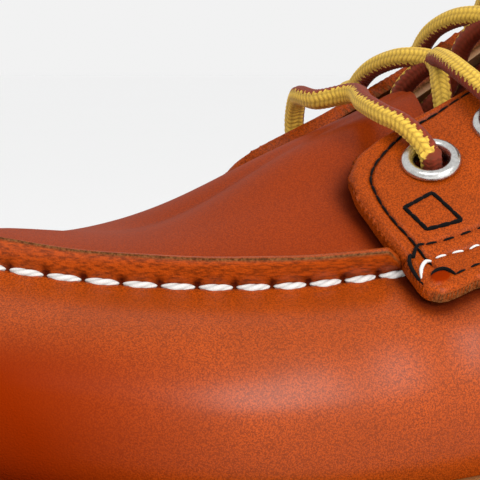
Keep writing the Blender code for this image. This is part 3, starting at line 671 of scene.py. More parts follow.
class ShoeColours(bpy.types.PropertyGroup):
    """Colours of the leather, the cords, the sole and the floor"""
    leather: colour_setting("Leather", "Orange tan of the upper", 0.405, 0.060, 0.0030)
    # Colour of the painted shade in the leather's creases, grooves, seams and corners
    leather_shade: colour_setting("Deep leather", "Leather in its pores and creases", 0.055, 0.006, 0.002)
    raw_edge: colour_setting("Raw edge", "Cut edges of the leather", 0.30, 0.13, 0.045)
    lining: colour_setting("Lining", "Inside of the shoe", 0.50, 0.30, 0.15)
    white_cord: colour_setting("White cord", "Moc seam and white thread", 0.76, 0.75, 0.72)
    black_thread: colour_setting("Black thread", "Sewing thread", 0.006, 0.005, 0.005)
    lace_gold: colour_setting("Gold yarn", "One half of the lace", 0.86, 0.56, 0.075)
    lace_brown: colour_setting("Brown yarn", "Other half of the lace", 0.24, 0.030, 0.012)
    rubber: colour_setting("Sole rubber", "Off-white wedge sole", 0.80, 0.76, 0.66)
    floor: colour_setting("Floor", "Pale studio floor", 0.852, 0.852, 0.852)


def sizes():
    """The sizes that the user has set."""
    return bpy.context.scene.shoe_sizes


def colours():
    """The colours that the user has set."""
    return bpy.context.scene.shoe_colours


class Socket:
    """A shader value that can be added, multiplied and compared like a number."""

    def __init__(self, shade, link):
        self.shade = shade
        self.link = link

    def maths(self, operation, first, second=0.0):
        made = self.shade.node("Math", {"operation": operation}, {0: first, 1: second})
        return Socket(self.shade, made.outputs[0])

    def __add__(self, other):
        return self.maths("ADD", self, other)

    __radd__ = __add__

    def __mul__(self, other):
        return self.maths("MULTIPLY", self, other)

    __rmul__ = __mul__

    def __sub__(self, other):
        return self.maths("SUBTRACT", self, other)

    def __rsub__(self, other):
        return self.maths("SUBTRACT", other, self)

    def step(self, start, end):
        """0 below start, 1 above end, with soft ends."""
        made = self.shade.node("MapRange", {"interpolation_type": "SMOOTHSTEP"},
                               {"Value": self, "From Min": start, "From Max": end})
        return Socket(self.shade, made.outputs[0])


class Shade:
    """The nodes of one material."""

    def __init__(self, name, **settings):
        self.material = bpy.data.materials.new(name)
        self.material.use_nodes = True
        self.tree = self.material.node_tree
        self.shader = self.tree.nodes["Principled BSDF"]
        self.place = self.node("TexCoord").outputs["Object"]
        for key, value in settings.items():
            self.set(key.replace("_", " ").title().replace("Ior", "IOR"), value)

    def node(self, kind, settings=None, values=None):
        """A new node with its settings, and the values or links of its sockets."""
        made = self.tree.nodes.new("ShaderNode" + kind)
        for key, value in (settings or {}).items():
            setattr(made, key, value)
        for key, value in (values or {}).items():
            self.join(made.inputs[key], value)
        return made

    def join(self, target, value):
        """Links a socket to a link, or gives it a colour or a number."""
        if isinstance(value, Socket):
            value = value.link
        if isinstance(value, bpy.types.NodeSocket):
            self.tree.links.new(value, target)
        elif target.type == "RGBA":
            target.default_value = (*value, 1)
        else:
            target.default_value = value

    def set(self, name, value):
        """Gives the shader a value, a colour or a link."""
        self.join(self.shader.inputs[name], value)

    def value(self, attribute):
        """A value that the mesh keeps at its vertices."""
        made = self.node("Attribute", {"attribute_name": attribute})
        return Socket(self, made.outputs["Fac"])

    def noise(self, size, detail=2.0, roughness=0.5, stretch=None):
        """Clouds with features of a size, from 0 to 1."""
        made = self.node("TexNoise", None, {"Vector": self.placed(stretch), "Scale": 1 / size,
                                            "Detail": detail, "Roughness": roughness})
        return Socket(self, made.outputs[0])

    def pebbles(self, size):
        """Distance to the middle of the nearest pebble, in pebbles."""
        made = self.node("TexVoronoi", {"feature": "SMOOTH_F1"},
                         {"Vector": self.place, "Scale": 1 / size, "Smoothness": 0.4})
        return Socket(self, made.outputs["Distance"])

    def placed(self, stretch):
        """Object coordinates, stretched or as they are."""
        if stretch is None:
            return self.place
        return self.node("Mapping", None, {"Vector": self.place, "Scale": stretch}).outputs[0]

    def blend(self, share, first, second):
        """The first colour, going over to the second with a share."""
        made = self.node("Mix", {"data_type": "RGBA"}, {0: share, 6: first, 7: second})
        return made.outputs[2]

    def bump(self, height, distance):
        """Relief of a height from 0 to 1, as deep as a distance."""
        made = self.node("Bump", None, {"Height": height, "Distance": distance, "Strength": 1.0})
        self.set("Normal", made.outputs[0])


def times(colour, factor):
    """A colour made darker or lighter."""
    return tuple(min(channel * factor, 1.0) for channel in colour)


# Vertex values of the leathers; the first holds painted shade in creases, grooves, seams and corners
VERTEX_VALUES = ("painted_shade", "band", "raw", "lining", "shade_and_dark_tone")
SHADED_TONE_SHARES = (0.52, 0.28, 0.2)  # shares of the leather's red, green and blue where it is painted darker: painted shade low on the toe's wall, and a darker tone on the plug and a pad


def leather(name, colour, deep, polish=0.46):
    """Full grain leather with pebbles, pores and soft clouds of tone. Vertex values change
    it: painted shade darkens it towards deep in creases, grooves, seams and corners; painted
    shade deepens the wall low at the toe, and the plug and a pad get a darker tone; band
    streaks the seam's leaves and darkens them, partly as painted shade; raw is cut and lining
    is its inside."""
    shade = Shade(name, specular_ior_level=0.0, coat_roughness=0.36)
    tones = colours()
    grain = sizes().grain_size
    pebble = shade.pebbles(grain)
    fine = shade.noise(grain * 0.55, 3.0)
    cloud = shade.noise(14 * MM, 3.0, 0.55)
    patch = shade.noise(2.4 * MM, 3.0, 0.6)
    streak = shade.noise(0.62 * MM, 4.0, 0.65, stretch=(0.34, 0.8, 1.5))
    frayed = shade.noise(0.5 * MM, 4.0, 0.7)
    woven = shade.noise(5 * MM, 4.0)
    # The last value darkens the wall low at the toe as painted shade, and gives the plug and a pad a darker
    # tone
    painted_shade, band, raw, lining, tan = (shade.value(key) for key in VERTEX_VALUES)
    pore = pebble.step(0.42, 0.70) * 0.60 + fine.step(0.47, 0.62) * 0.95
    base = shade.blend(cloud.step(0.30, 0.72), times(colour, 0.90), times(colour, 1.10))
    base = shade.blend(patch.step(0.52, 0.80) * 0.30, base, times(colour, 0.72))
    base = shade.blend(pore, base, times(colour, 0.45))
    # Band: streaked grain on the seam's upright leaves, darker overall as painted shade on them
    streaked = shade.blend(streak.step(0.36, 0.60), times(colour, 0.42), times(colour, 1.15))
    base = shade.blend(band * 0.80, base, streaked)
    # Painted shade low on the toe's wall; a darker tone on the plug and a pad
    base = shade.blend(tan, base, tuple(channel * part for channel, part in zip(colour, SHADED_TONE_SHARES)))
    # Painted shade in creases, grooves, seams and corners, in the deep colour
    base = shade.blend(painted_shade, base, deep)
    cut = shade.blend(frayed.step(0.35, 0.68), times(tones.raw_edge, 0.10), times(tones.raw_edge, 0.62))
    base = shade.blend(raw, base, cut)
    inside = shade.blend(woven.step(0.3, 0.7), times(tones.lining, 0.85), tones.lining)
    shade.set("Base Color", shade.blend(lining, base, inside))
    rough = 0.40 + (fine - 0.5) * 0.12 + pore * 0.25 + raw * 0.3 + lining * 0.25 + painted_shade * 0.2
    shade.set("Roughness", rough)
    shade.set("Coat Weight", (1 - tan) * (1 - raw) * (1 - painted_shade) * polish)
    height = (1 - pebble.step(0.10, 0.85)) * (1 - raw) + fine * 0.55 + streak * band * 1.8 + raw * fine * 2.0
    shade.bump(height, 0.036 * MM)
    return shade.material


def cord_finish(name, colour, shadow, twist, sheen=0.1):
    """Matt spun cord, darker between its plies by a share twist."""
    shade = Shade(name, roughness=0.72, sheen_weight=sheen, specular_ior_level=sheen)
    fibre = shade.noise(0.22 * MM, 4.0, 0.7)
    depth = shade.value("depth")
    base = shade.blend(fibre.step(0.25, 0.8), times(colour, 0.78), colour)
    shade.set("Base Color", shade.blend(depth * twist, base, shadow))
    shade.bump(fibre, 0.05 * MM)
    return shade.material


def lace_finish():
    """Two-coloured yarn: vertex value gold tells its halves, depth its ribs, with painted shade between the
    ribs.
    """
    tones = colours()
    shade = Shade("lace_yarn", roughness=0.62, sheen_weight=0.05, specular_ior_level=0.12)
    fibre = shade.noise(0.16 * MM, 4.0, 0.7)
    gold, depth = shade.value("gold"), shade.value("depth")
    yarn = shade.blend(gold.step(0.42, 0.58), tones.lace_brown, tones.lace_gold)
    yarn = shade.blend(fibre.step(0.62, 0.30) * 0.35, yarn, (0.10, 0.03, 0.008))
    # Painted shade in the grooves between the braid's ribs
    shade.set("Base Color", shade.blend(depth * 0.75, yarn, (0.09, 0.022, 0.006)))
    shade.bump(fibre, 0.04 * MM)
    return shade.material


def metal_finish():
    """Brushed nickel."""
    shade = Shade("eyelet_nickel", metallic=1.0, base_color=(0.78, 0.77, 0.75))
    brushed = shade.noise(0.6 * MM, 4.0, 0.6)
    shade.set("Base Color", shade.blend(brushed.step(0.3, 0.7), (0.50, 0.49, 0.47), (0.66, 0.65, 0.63)))
    shade.set("Roughness", 0.20 + brushed * 0.10)
    shade.bump(brushed, 0.02 * MM)
    return shade.material


def rubber_finish():
    """Matt off-white rubber, with painted shade in the sole's groove where its vertex value says."""
    tone = colours().rubber
    shade = Shade("sole_rubber", specular_ior_level=0.4)
    dust = shade.noise(9 * MM, 4.0, 0.6)
    fine = shade.noise(0.5 * MM, 3.0)
    painted_shade = shade.value("painted_shade")
    base = shade.blend(dust.step(0.35, 0.75), tone, times(tone, 0.86))
    shade.set("Base Color", shade.blend(painted_shade, base, times(tone, 0.35)))
    shade.set("Roughness", 0.62 + fine * 0.16)
    shade.bump(fine, 0.06 * MM)
    return shade.material


def floor_finish():
    """Pale paper floor."""
    tone = colours().floor
    shade = Shade("studio_floor", roughness=0.75, specular_ior_level=0.15)
    shade.set("Base Color", shade.blend(shade.noise(0.4, 2.0).step(0.2, 0.8), times(tone, 0.995), tone))
    return shade.material


def mesh_of(bm, name):
    """The mesh of a finished bmesh."""
    mesh = bpy.data.meshes.new(name)
    bm.to_mesh(mesh)
    bm.free()
    return mesh


def lay(name, points, values=None, closed_rows=False, closed_columns=False, drop=None, merge=2e-6):
    """A skin over points[column, row]. Values are vertex values of the same shape, drop
    says which faces to leave out by their column and row."""
    def closed(grid):
        if closed_rows:
            grid = np.concatenate([grid, grid[:, :1]], axis=1)
        if closed_columns:
            grid = np.concatenate([grid, grid[:1]], axis=0)
        return grid

    points = closed(points)
    across, up = points.shape[:2]
    bm = bmesh.new()
    bmesh.ops.create_grid(bm, x_segments=across - 1, y_segments=up - 1, size=1)
    mesh = mesh_of(bm, name)
    flat = np.zeros(len(mesh.vertices) * 3)
    mesh.vertices.foreach_get("co", flat)
    flat = flat.reshape(-1, 3)
    i = np.rint((flat[:, 0] + 1) / 2 * (across - 1)).astype(int)
    j = np.rint((flat[:, 1] + 1) / 2 * (up - 1)).astype(int)
    mesh.vertices.foreach_set("co", points[i, j].ravel())
    for key, grid in (values or {}).items():
        layer = mesh.attributes.new(key, "FLOAT", "POINT")
        layer.data.foreach_set("value", closed(grid)[i, j].astype(np.float32))
    bm = bmesh.new()
    bm.from_mesh(mesh)
    if drop is not None:
        bm.faces.ensure_lookup_table()
        gone = [face for face in bm.faces
                if drop[min(i[v.index] for v in face.verts), min(j[v.index] for v in face.verts)]]
        bmesh.ops.delete(bm, geom=gone, context="FACES_ONLY")
    bmesh.ops.remove_doubles(bm, verts=bm.verts, dist=merge)
    bmesh.ops.dissolve_degenerate(bm, edges=bm.edges, dist=merge / 4)
    holes = [edge for edge in bm.edges if edge.is_boundary]
    if holes:
        bmesh.ops.holes_fill(bm, edges=holes, sides=0)
    bmesh.ops.delete(bm, geom=[v for v in bm.verts if not v.link_faces], context="VERTS")
    bmesh.ops.recalc_face_normals(bm, faces=bm.faces)
    bm.to_mesh(mesh)
    bm.free()
    return mesh


def put_in_scene(name, data):
    """An object that holds a mesh, a light or a camera."""
    made = bpy.data.objects.new(name, data)
    bpy.context.scene.collection.objects.link(made)
    return made


def piece(name, mesh, finish, nodes=()):
    """A finished piece: smooth, on the shoe's one body, and in the place of its solids."""
    made = put_in_scene(name, mesh)
    mesh.materials.append(finish)
    mesh.shade_smooth()
    mesh.set_sharp_from_angle(angle=math.radians(60))
    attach(made, "root")
    if nodes:
        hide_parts(*nodes)
    return made


def leather_piece(name, mesh, node, colour, deep=None):
    """A piece with a leather of its own, in the place of one solid."""
    return piece(name, mesh, leather(name, colour, deep or colours().leather_shade), [node])


def turns():
    """Turns once round the shoe: fine round the forepart, wider towards the heel."""
    fine, run = seam_ring()
    wide = np.where(travel(fine) > FINE_START, FINE_COLUMN, HEEL_COLUMN)
    wide = np.where(travel(fine) > FINE_END, TOE_COLUMN, wide)
    count = np.concatenate([[0], np.cumsum(np.diff(run) / wide[1:])])
    t = np.interp(np.linspace(0, count[-1], int(count[-1]) + 1), count, fine)
    throat, too_near = column(THROAT_FRONT), 2e-4
    t = np.sort(np.append(t[np.abs(t - throat) > too_near], throat))
    return np.concatenate([t, 2 - t[-2:0:-1]])


def seam_run(turn):
    """Distance along the moc seam from the middle of the toe, - on the outer side."""
    fine, run = seam_ring()
    t, side = fold(turn)
    return side * (run[-1] - np.interp(t, fine, run))


def seam_turn(distance):
    """The turn that lies a distance along the moc seam from the middle of the toe."""
    fine, run = seam_ring()
    t = np.interp(run[-1] - np.abs(distance), run, fine)
    return np.where(distance < 0, t, 2 - t)


def folds(turn, distance):
    """How far the leather's soft troughs and ridges lift its surface."""
    t, side = fold(turn)
    along_it = (travel(t) * SOLE_LENGTH)[:, None]
    total = np.zeros_like(distance)
    for share, height, long, wide, slant, rise, only in zip(*FOLDS.values()):
        dx = (along_it - share * SOLE_LENGTH) / MM
        dy = (distance - height * UPPER_HEIGHT) / MM
        angle = math.radians(slant)
        lengthwise = dx * math.cos(angle) + dy * math.sin(angle)
        crosswise = -dx * math.sin(angle) + dy * math.cos(angle)
        soft = np.exp(-(lengthwise / long) ** 2 - (crosswise / wide) ** 2) * rise * MM
        total += soft * np.where((only == 0) | (side[:, None] == only), 1.0, 0.0)
    return total


def stitch_holes(turn):
    """1 at the middle of the gap between two moc stitches, 0 under a stitch."""
    pitch = sizes().stitch_pitch
    hole_width = 0.52 * MM
    phase = np.abs(np.mod(seam_run(turn) / pitch, 1.0) - 0.5)
    return bell((0.5 - phase) * pitch, hole_width)


def nearest(points, line):
    """Distance of each point to the nearest of a line's points."""
    flat = points.reshape(-1, 3)
    found = np.empty(len(flat))
    batch = 4000
    for start in range(0, len(flat), batch):
        part = flat[start:start + batch]
        found[start:start + batch] = np.sqrt(((part[:, None] - line[None]) ** 2).sum(axis=2).min(axis=1))
    return found.reshape(points.shape[:-1])


def shadow_beside_lobe(turn, points, distance):
    """Painted shadow in the corner between the wall and a lobe's front and lower edges."""
    lobe_back, shadow_width, darkest = 0.660, 2.3 * MM, 0.97
    share = lobe_shares(0.6 * MM, lobe_back)
    dark = np.zeros(points.shape[:2])
    columns = np.flatnonzero(travel(fold(turn)[0]) > lobe_back - 0.005)
    for side in (-1, 1):
        lobe, lower, upper = lobe_edges(share, side)
        rim = np.concatenate([surface(lobe, edge_up[:, None], 0)[:, 0] for edge_up in (lower, upper)])
        away = nearest(points[columns], rim)
        dark[columns] = np.maximum(dark[columns], darkest * bell(away, shadow_width))
    return dark * (1 - ease(distance, 27 * MM, 34 * MM))


def ridge_lift(turn, seam_on):
    """Height of the raised seam: lower on the inner side, its outer leaf higher and its
    inner leaf lower towards the lobes, with a slight wave along its top."""
    share = travel(fold(turn)[0])[:, None]
    run = seam_run(turn)[:, None]
    rear = 1 - ease(share, 0.80, 0.92) * 0.5 - ease(share, 0.745, 0.80) * 0.5
    lift = RIDGE["height"] * SEAM_HEIGHT * seam_on * (1 - 0.25 * ease(run, -10 * MM, 30 * MM))
    lift *= 1 + rear * np.where(RIDGE["across"] < 0.5, 0.18, -0.30)
    return lift + 0.06 * MM * np.sin(run / (3.1 * MM)) * (RIDGE["height"] > 0.6) * seam_on


def ridge_shade(holes):
    """Painted shade along the raised seam: at its foot, between its leaves, behind them and
    in its stitch holes."""
    foot = bell(RIDGE["across"] - 0.04, 0.05) * (RIDGE["height"] < 0.3) * 0.5
    between = bell(RIDGE["across"] - 0.51, 0.03)
    return foot + holes * 1.3 + between + bell(RIDGE["across"] - 1.0, 0.08) * 0.6


def upper_rows(turn):
    """Points and vertex values of the upper's section, from the wall's foot over the
    raised seam and the plug to the opening's edge, and back down its lining."""
    low, _ = reach(turn)
    top = edge(turn)
    share = travel(fold(turn)[0])
    seam_on = (np.clip((share - RIDGE_END) / (RIDGE_FULL - RIDGE_END), 0, 1) ** 0.8)[:, None]
    across = RIDGE["across"] * SEAM_WIDTH
    start, end = across[0], across[-1]
    wall_rows, plug_rows, hole_depth = 30, 38, 0.40 * MM
    wall = np.linspace(0, 1, wall_rows)[:-1]
    plug = np.linspace(0, 1, plug_rows)[1:]
    below = low[:, None] + (start - low)[:, None] * (1 - (1 - wall) ** 1.25)
    above = end + (top - end)[:, None] * plug ** 1.15
    outer = np.concatenate([below, np.tile(across, (len(turn), 1)), above], axis=1)
    ridge = slice(below.shape[1], below.shape[1] + len(across))

    foot = bell(RIDGE["height"] - 0.10, 0.13) * (np.abs(RIDGE["across"] - 0.06) < 0.05)
    holes = foot * (stitch_holes(turn)[:, None] * seam_on)
    lie = outer.copy()
    lie[:, ridge] += holes * hole_depth
    inside_seam = ease(outer, start, start + MM) * (1 - ease(outer, end - MM, end))
    points = surface(turn, lie, folds(turn, outer) * (1 - inside_seam))
    stand = normals(turn, np.full((len(turn), 1), SEAM_WIDTH / 2))
    points[:, ridge] += stand * ridge_lift(turn, seam_on)[..., None]

    values = {key: np.zeros_like(outer) for key in VERTEX_VALUES}
    # Painted shade: the wall darker low down at the toe, and a little darker low down all round; the plug
    # gets a darker tone and less gloss
    forward = ease(share, 0.77, 0.93)[:, None]
    on_plug = ease(outer, 2 * MM, 8 * MM)
    values["shade_and_dark_tone"] = forward * ease(-outer, 12 * MM, 24 * MM) + 0.55 * on_plug
    values["shade_and_dark_tone"] += 0.12 * (1 - on_plug) * ease(-outer, 22 * MM, 34 * MM)
    values["band"][:, ridge] = seam_on * ((RIDGE["height"] > 0.05) & (RIDGE["across"] < 0.1))
    values["raw"][:, ridge] = RIDGE["raw"] * seam_on
    values["painted_shade"] = shadow_beside_lobe(turn, points, outer)
    dark = np.clip(ridge_shade(holes), 0, 1) * seam_on
    values["painted_shade"][:, ridge] = np.maximum(values["painted_shade"][:, ridge], dark)

    down = (top[:, None] * (1, 0.8, 0.6, 0.4, 0.22, 0.08), low[:, None] * (0.1, 0.25, 0.5, 0.75, 1.0))
    lining = surface(turn, np.concatenate(down, axis=1), -WALL)
    rim = (points[:, -1:] + lining[:, :1]) / 2
    rest = {key: np.zeros((len(turn), 1 + lining.shape[1])) for key in values}
    rest["raw"][:, 0] = 1
    rest["lining"][:, 1:] = 1
    values = {key: np.concatenate([values[key], rest[key]], axis=1) for key in values}
    return np.concatenate([points, rim, lining], axis=1), values, points.shape[1] - 1


class SHOE_OT_upper(bpy.types.Operator):
    """Wall, raised moc seam, plug and lining"""
    bl_idname = "shoe.upper"
    bl_label = "Upper"

    def execute(self, context):
        turn = turns()
        points, values, spine = upper_rows(turn)
        shut = travel(fold(turn)[0]) >= THROAT_FRONT - 1e-6
        count = len(turn)
        drop = np.zeros((count + 1, points.shape[1] + 1), dtype=bool)
        for i in np.flatnonzero(shut):
            if i < count // 2:
                middle = (points[i, spine:spine + 3] + points[count - i, spine:spine + 3]) / 2
                points[i, spine:spine + 3] = points[count - i, spine:spine + 3] = middle
                values["raw"][[i, count - i], spine + 1] = 0
            if shut[(i + 1) % count]:
                drop[i, spine:spine + 2] = True
        mesh = lay("upper_leather", points, values, True, True, drop)
        leather_piece("upper_leather", mesh, "upper", colours().leather)
        return {"FINISHED"}


def lobe_edges(share, side):
    """Lower and upper edge of a quarter, as distances up from the seam."""
    turn = turn_at(share, side)
    _, high = reach(turn)
    floor = over_welt(turn, LAYER_GAP + QUARTER_THICKNESS)
    hem = np.interp(share, HEM["share"][::-1], HEM["lower"][::-1]) * UPPER_HEIGHT
    behind = np.maximum(np.where(share < HEM["share"][-1], floor, hem), floor)
    places = LOBE["share"][::-1]
    lobe_low = cubic(share, places, LOBE["lower"][::-1]) * UPPER_HEIGHT
    lobe_high = np.minimum(cubic(share, places, LOBE["upper"][::-1]) * UPPER_HEIGHT, high - FACING_GAP)
    front = share >= LOBE["share"][-1]
    middle = NOSE_MIDDLE * UPPER_HEIGHT
    ahead = np.clip((share - NOSE_START) / (NOSE_END - NOSE_START), 0, 1)
    edges = []
    for found in (np.where(front, lobe_low, behind), np.where(front, lobe_high, edge(turn))):
        edges.append(np.where(ahead > 0, middle + (found - middle) * np.sqrt(1 - ahead**2), found))
    return turn, edges[0], edges[1]


def lobe_shares(step, end):
    """Shares of a quarter's columns from its nose back: closer at the nose, where their
    distances from its end are in mm, and wide at the heel."""
    fine_end = 0.645
    nose = np.array([0.0, 0.01, 0.04, 0.09, 0.16, 0.25, 0.36, 0.5, 0.66, 0.85, 1.1])
    step, heel_step = step / SOLE_LENGTH, 1.6 * MM / SOLE_LENGTH
    near = NOSE_END - nose * MM / SOLE_LENGTH
    fine = np.arange(near[-1] - step, fine_end, -step)
    wide = np.arange(fine[-1] - heel_step, end, -heel_step)
    return np.concatenate([near, fine, wide, [end]])


def line_on_quarter(side, line, step, lift=0.0):
    """Points at even steps along a table's line over a quarter's face, with the ways out
    of it; a table's own lift is in mm."""
    rise = line["lift"] * MM if "lift" in line else np.full(len(line["share"]), lift)
    path, _ = smooth_line(np.column_stack([line["share"] * SOLE_LENGTH, line["up"] * MM, rise]), step)
    return on_quarter(side, path[:, 0] / SOLE_LENGTH, path[:, 1], path[:, 2])


def quarter_section(side, step, rows):
    """Places of a quarter's inner face, its ways out, and the distances of each place from
    the quarter's edge and from the groove of its edge stitches."""
    share = lobe_shares(step, float(travel(np.array(heel_column(CLEARANCE / 2)))))
    turn, lower, upper = lobe_edges(share, side)
    v = np.linspace(0, 1, rows)
    v = 0.45 * v + 0.55 * travel(v)
    distance = lower[:, None] + np.outer(upper - lower, v)
    base = surface(turn, distance, 0)
    out = normals(turn, distance)
    rim = np.concatenate([base[:, 0], base[::-1, -1]])
    gap = nearest(base, rim[::2])
    stitched, _ = line_on_quarter(side, EDGE_LINE, 0.3 * MM, -QUARTER_THICKNESS)
    base = base + out * stand_off(turn, distance)[..., None]
    near = nearest(base, stitched)
    behind = np.abs(gap - sizes().border_width) + 9 * MM * (share > EDGE_LINE["share"][0])[:, None]
    return share, turn, distance, base, out, gap, np.minimum(near, behind)


def border(gap, groove, distance, share):
    """Thickness of a quarter against the distance from its edge: a rolled and puffed
    border, the groove of its edge stitches and the flat of the leather."""
    puff_in, puff_width, groove_width = 1.35 * MM, 0.8 * MM, 0.40 * MM
    on_lobe = ease(share, LOBE_BACK, LOBE_BACK + 0.008)[:, None]
    turned = np.maximum(ease(distance, -8.5 * MM, -4 * MM), on_lobe)
    puff = BORDER_PUFF * bell(gap - puff_in, puff_width) * turned
    channel = BORDER_GROOVE * bell(groove, groove_width)
    return QUARTER_THICKNESS * rolled(gap, BORDER_ROLL) + puff - channel


def build_quarter(name, side, step, rows, finish, node):
    """A quarter with its border, its sunk eyelet seats and grooves, and its inner face."""
    share, turn, distance, base, out, gap, groove = quarter_section(side, step, rows)
    lift = border(gap, groove, distance, share) + folds(turn, distance) * ease(gap, 2 * MM, 12 * MM)
    face = base + out * lift[..., None]
    pit = np.zeros_like(lift)
    for _, middle, _, _ in eyelet_places():
        away = np.sqrt(((face - middle) ** 2).sum(axis=2))
        pit = np.maximum(pit, 1 - ease(away, 0.85 * EYELET_BARREL / 2, EYELET_BARREL / 2))
    pad = ((share - PAD_SHARE) / PAD_LENGTH)[:, None] ** 2 + ((distance / MM - PAD_UP) / PAD_HALF) ** 2
    pad = (1 - ease(pad, 0.45, 1.2)) * (1.3 if side < 0 else 0)
    face = face + out * (pad * PAD_RISE - pit * QUARTER_THICKNESS * 0.95)[..., None]
    # Painted shade in the groove of the edge stitches, along the rows of thread and in the eyelet seats
    painted_shade = 0.75 * bell(groove, 0.32 * MM)
    for _, line in ROWS:
        sunk = bell(nearest(face, line_on_quarter(side, line, 0.4 * MM)[0]), 0.30 * MM)
        painted_shade = np.maximum(painted_shade, 0.45 * sunk)
        face = face - out * (sunk * THREAD_GROOVE)[..., None]
    lower_gap = np.abs(distance - distance[:, :1])
    behind = 1 - ease(share, LOBE_BACK, LOBE_BACK + 0.006)[:, None]
    cut = (1 - ease(gap, 0.14 * MM, 0.40 * MM)) * (lower_gap < 3 * MM) * behind
    painted_shade = np.maximum(painted_shade * (1 - behind * (lower_gap < 6 * MM)), pit)
    inner_rows = 12
    inner = base[:, np.rint(np.linspace(rows - 1, 0, inner_rows)).astype(int)]
    zero = np.zeros(inner.shape[:2])
    # The pad gets a darker tone and less gloss
    values = {key: np.concatenate([grid, rest], axis=1) for key, grid, rest in (
        ("painted_shade", painted_shade, zero), ("shade_and_dark_tone", pad, zero), ("raw", cut, zero + behind * 0.8))}
    mesh = lay(name, np.concatenate([face, inner], axis=1), values, closed_rows=True)
    return piece(name, mesh, finish, [node])


class SHOE_OT_quarters(bpy.types.Operator):
    """Outer and inner quarter with their rolled borders"""
    bl_idname = "shoe.quarters"
    bl_label = "Quarters"

    def execute(self, context):
        tones = colours()
        finish = leather("quarter_leather", times(tones.leather, 0.97), tones.leather_shade, polish=0.20)
        build_quarter("quarter_outer_leather", -1, 0.34 * MM, 96, finish, "quarter_outer")
        build_quarter("quarter_inner_leather", 1, 0.6 * MM, 64, finish, "quarter_inner")
        return {"FINISHED"}


class SHOE_OT_backstay(bpy.types.Operator):
    """Strip down the heel"""
    bl_idname = "shoe.backstay"
    bl_label = "Backstay"

    def execute(self, context):
        half = BACKSTAY_WIDTH / 2
        stand = 2 * LAYER_GAP + QUARTER_THICKNESS
        end = heel_column(half)
        turn = np.linspace(end, -end, 49)
        lower = over_welt(turn, stand + BACKSTAY_THICKNESS)
        tall = edge(turn) - lower
        rows, inner_rows = 90, 10
        v = np.linspace(0, 1, rows)
        distance = lower[:, None] + np.outer(tall, v)
        out = normals(turn, distance)
        base = surface(turn, distance, 0) + out * stand
        aside = half * (1 - np.abs(np.linspace(-1, 1, len(turn))))[:, None]
        ends = np.minimum(distance - lower[:, None], tall[:, None] * (1 - v))
        gap = np.minimum(np.maximum(aside, 0), np.maximum(ends, 0))
        line_in = 2.4 * MM
        groove = np.broadcast_to(aside - line_in, gap.shape)
        lift = BACKSTAY_THICKNESS * rolled(gap, 0.9 * MM) - 0.3 * MM * bell(groove, 0.4 * MM)
        inner = base[:, np.rint(np.linspace(rows - 1, 0, inner_rows)).astype(int)]
        points = np.concatenate([base + out * lift[..., None], inner], axis=1)
        zero = np.zeros(inner.shape[:2])
        # Painted shade in the groove of the stitches
        values = {key: np.concatenate([grid, zero], axis=1) for key, grid in (
            ("painted_shade", 0.6 * bell(groove, 0.3 * MM)), ("raw", 1 - ease(gap, 0.2 * MM, 0.6 * MM)))}
        mesh = lay("backstay_leather", points, values, closed_rows=True)
        leather_piece("backstay_leather", mesh, "backstay", times(colours().leather, 0.93))
        return {"FINISHED"}


class SHOE_OT_tongue(bpy.types.Operator):
    """Tongue under the lace"""
    bl_idname = "shoe.tongue"
    bl_label = "Tongue"

    def execute(self, context):
        points = self.middle()
        out = unit(np.cross(np.gradient(points, axis=1), np.gradient(points, axis=0)))
        out = out * np.sign(out[len(out) // 2, out.shape[1] // 2, 2])
        rim = np.concatenate([points[:, 0], points[:, -1], points[0], points[-1]])
        gap = nearest(points, rim)
        thinned = (1 - rolled(gap, MM)) * 0.5
        groove = bell(gap - 3 * MM, 0.4 * MM)
        face = points - out * (TONGUE_THICKNESS * thinned + 0.25 * MM * groove)[..., None]
        back = points - out * (TONGUE_THICKNESS * (1 - thinned))[..., None]
        back = back[:, np.arange(points.shape[1] - 1, -1, -4)]
        zero = np.zeros(back.shape[:2])
        # Painted shade in the groove of the stitches
        values = {key: np.concatenate([grid, rest], axis=1) for key, grid, rest in (
            ("painted_shade", 0.7 * groove, zero), ("raw", 1 - ease(gap, 0.2 * MM, 0.7 * MM), zero),
            ("lining", 0 * gap, zero + 1))}
        mesh = lay("tongue_leather", np.concatenate([face, back], axis=1), values, closed_rows=True)
        leather_piece("tongue_leather", mesh, "tongue", times(colours().leather, 0.62))
        return {"FINISHED"}

    def middle(self):
        """Points over the tongue: under the facings, then on to its rounded end."""
        under = WALL + 3 * CLEARANCE
        lowered = WALL + LACE_DIAMETER + 4 * CLEARANCE
        rows, columns, tip_rows = 110, 57, 28
        u, v = np.meshgrid(np.linspace(0, 1, rows), np.linspace(-1, 1, columns), indexing="ij")
        share = TONGUE_FRONT + (TONGUE_BACK - TONGUE_FRONT) * u
        depth = under + (lowered - under) * ease(u, 0.02, 0.12)
        half = TONGUE_HALF_WIDTH * cubic(u, TONGUE["along"], TONGUE["half"])
        points = over_spine(share.ravel(), (half * v).ravel(), -depth.ravel()).reshape(*u.shape, 3)
        way = unit((points[-1] - points[-12]).mean(axis=0))
        rise, width, flat = (np.concatenate([[first], TONGUE_TIP[key]])
                             for first, key in ((0, "rise"), (1, "width"), (0, "flat")))
        tip = []
        for at in np.linspace(0, 1, tip_rows)[1:]:
            row = points[-1] + way * TONGUE_RISE * at
            middle = row[len(row) // 2]
            drawn = (1 - at, np.interp(at, rise, width), 1 - np.interp(at, rise, flat))
            tip.append(middle + (row - middle) * drawn)
        return np.concatenate([points, np.array(tip)])


def ring_run(count):
    """Turns evenly spaced along the sole's outline."""
    turn = np.linspace(0, 2, 1600)
    run = run_of(outline(turn, 0))
    return np.interp(np.linspace(0, run[-1], count, endpoint=False), run, turn)


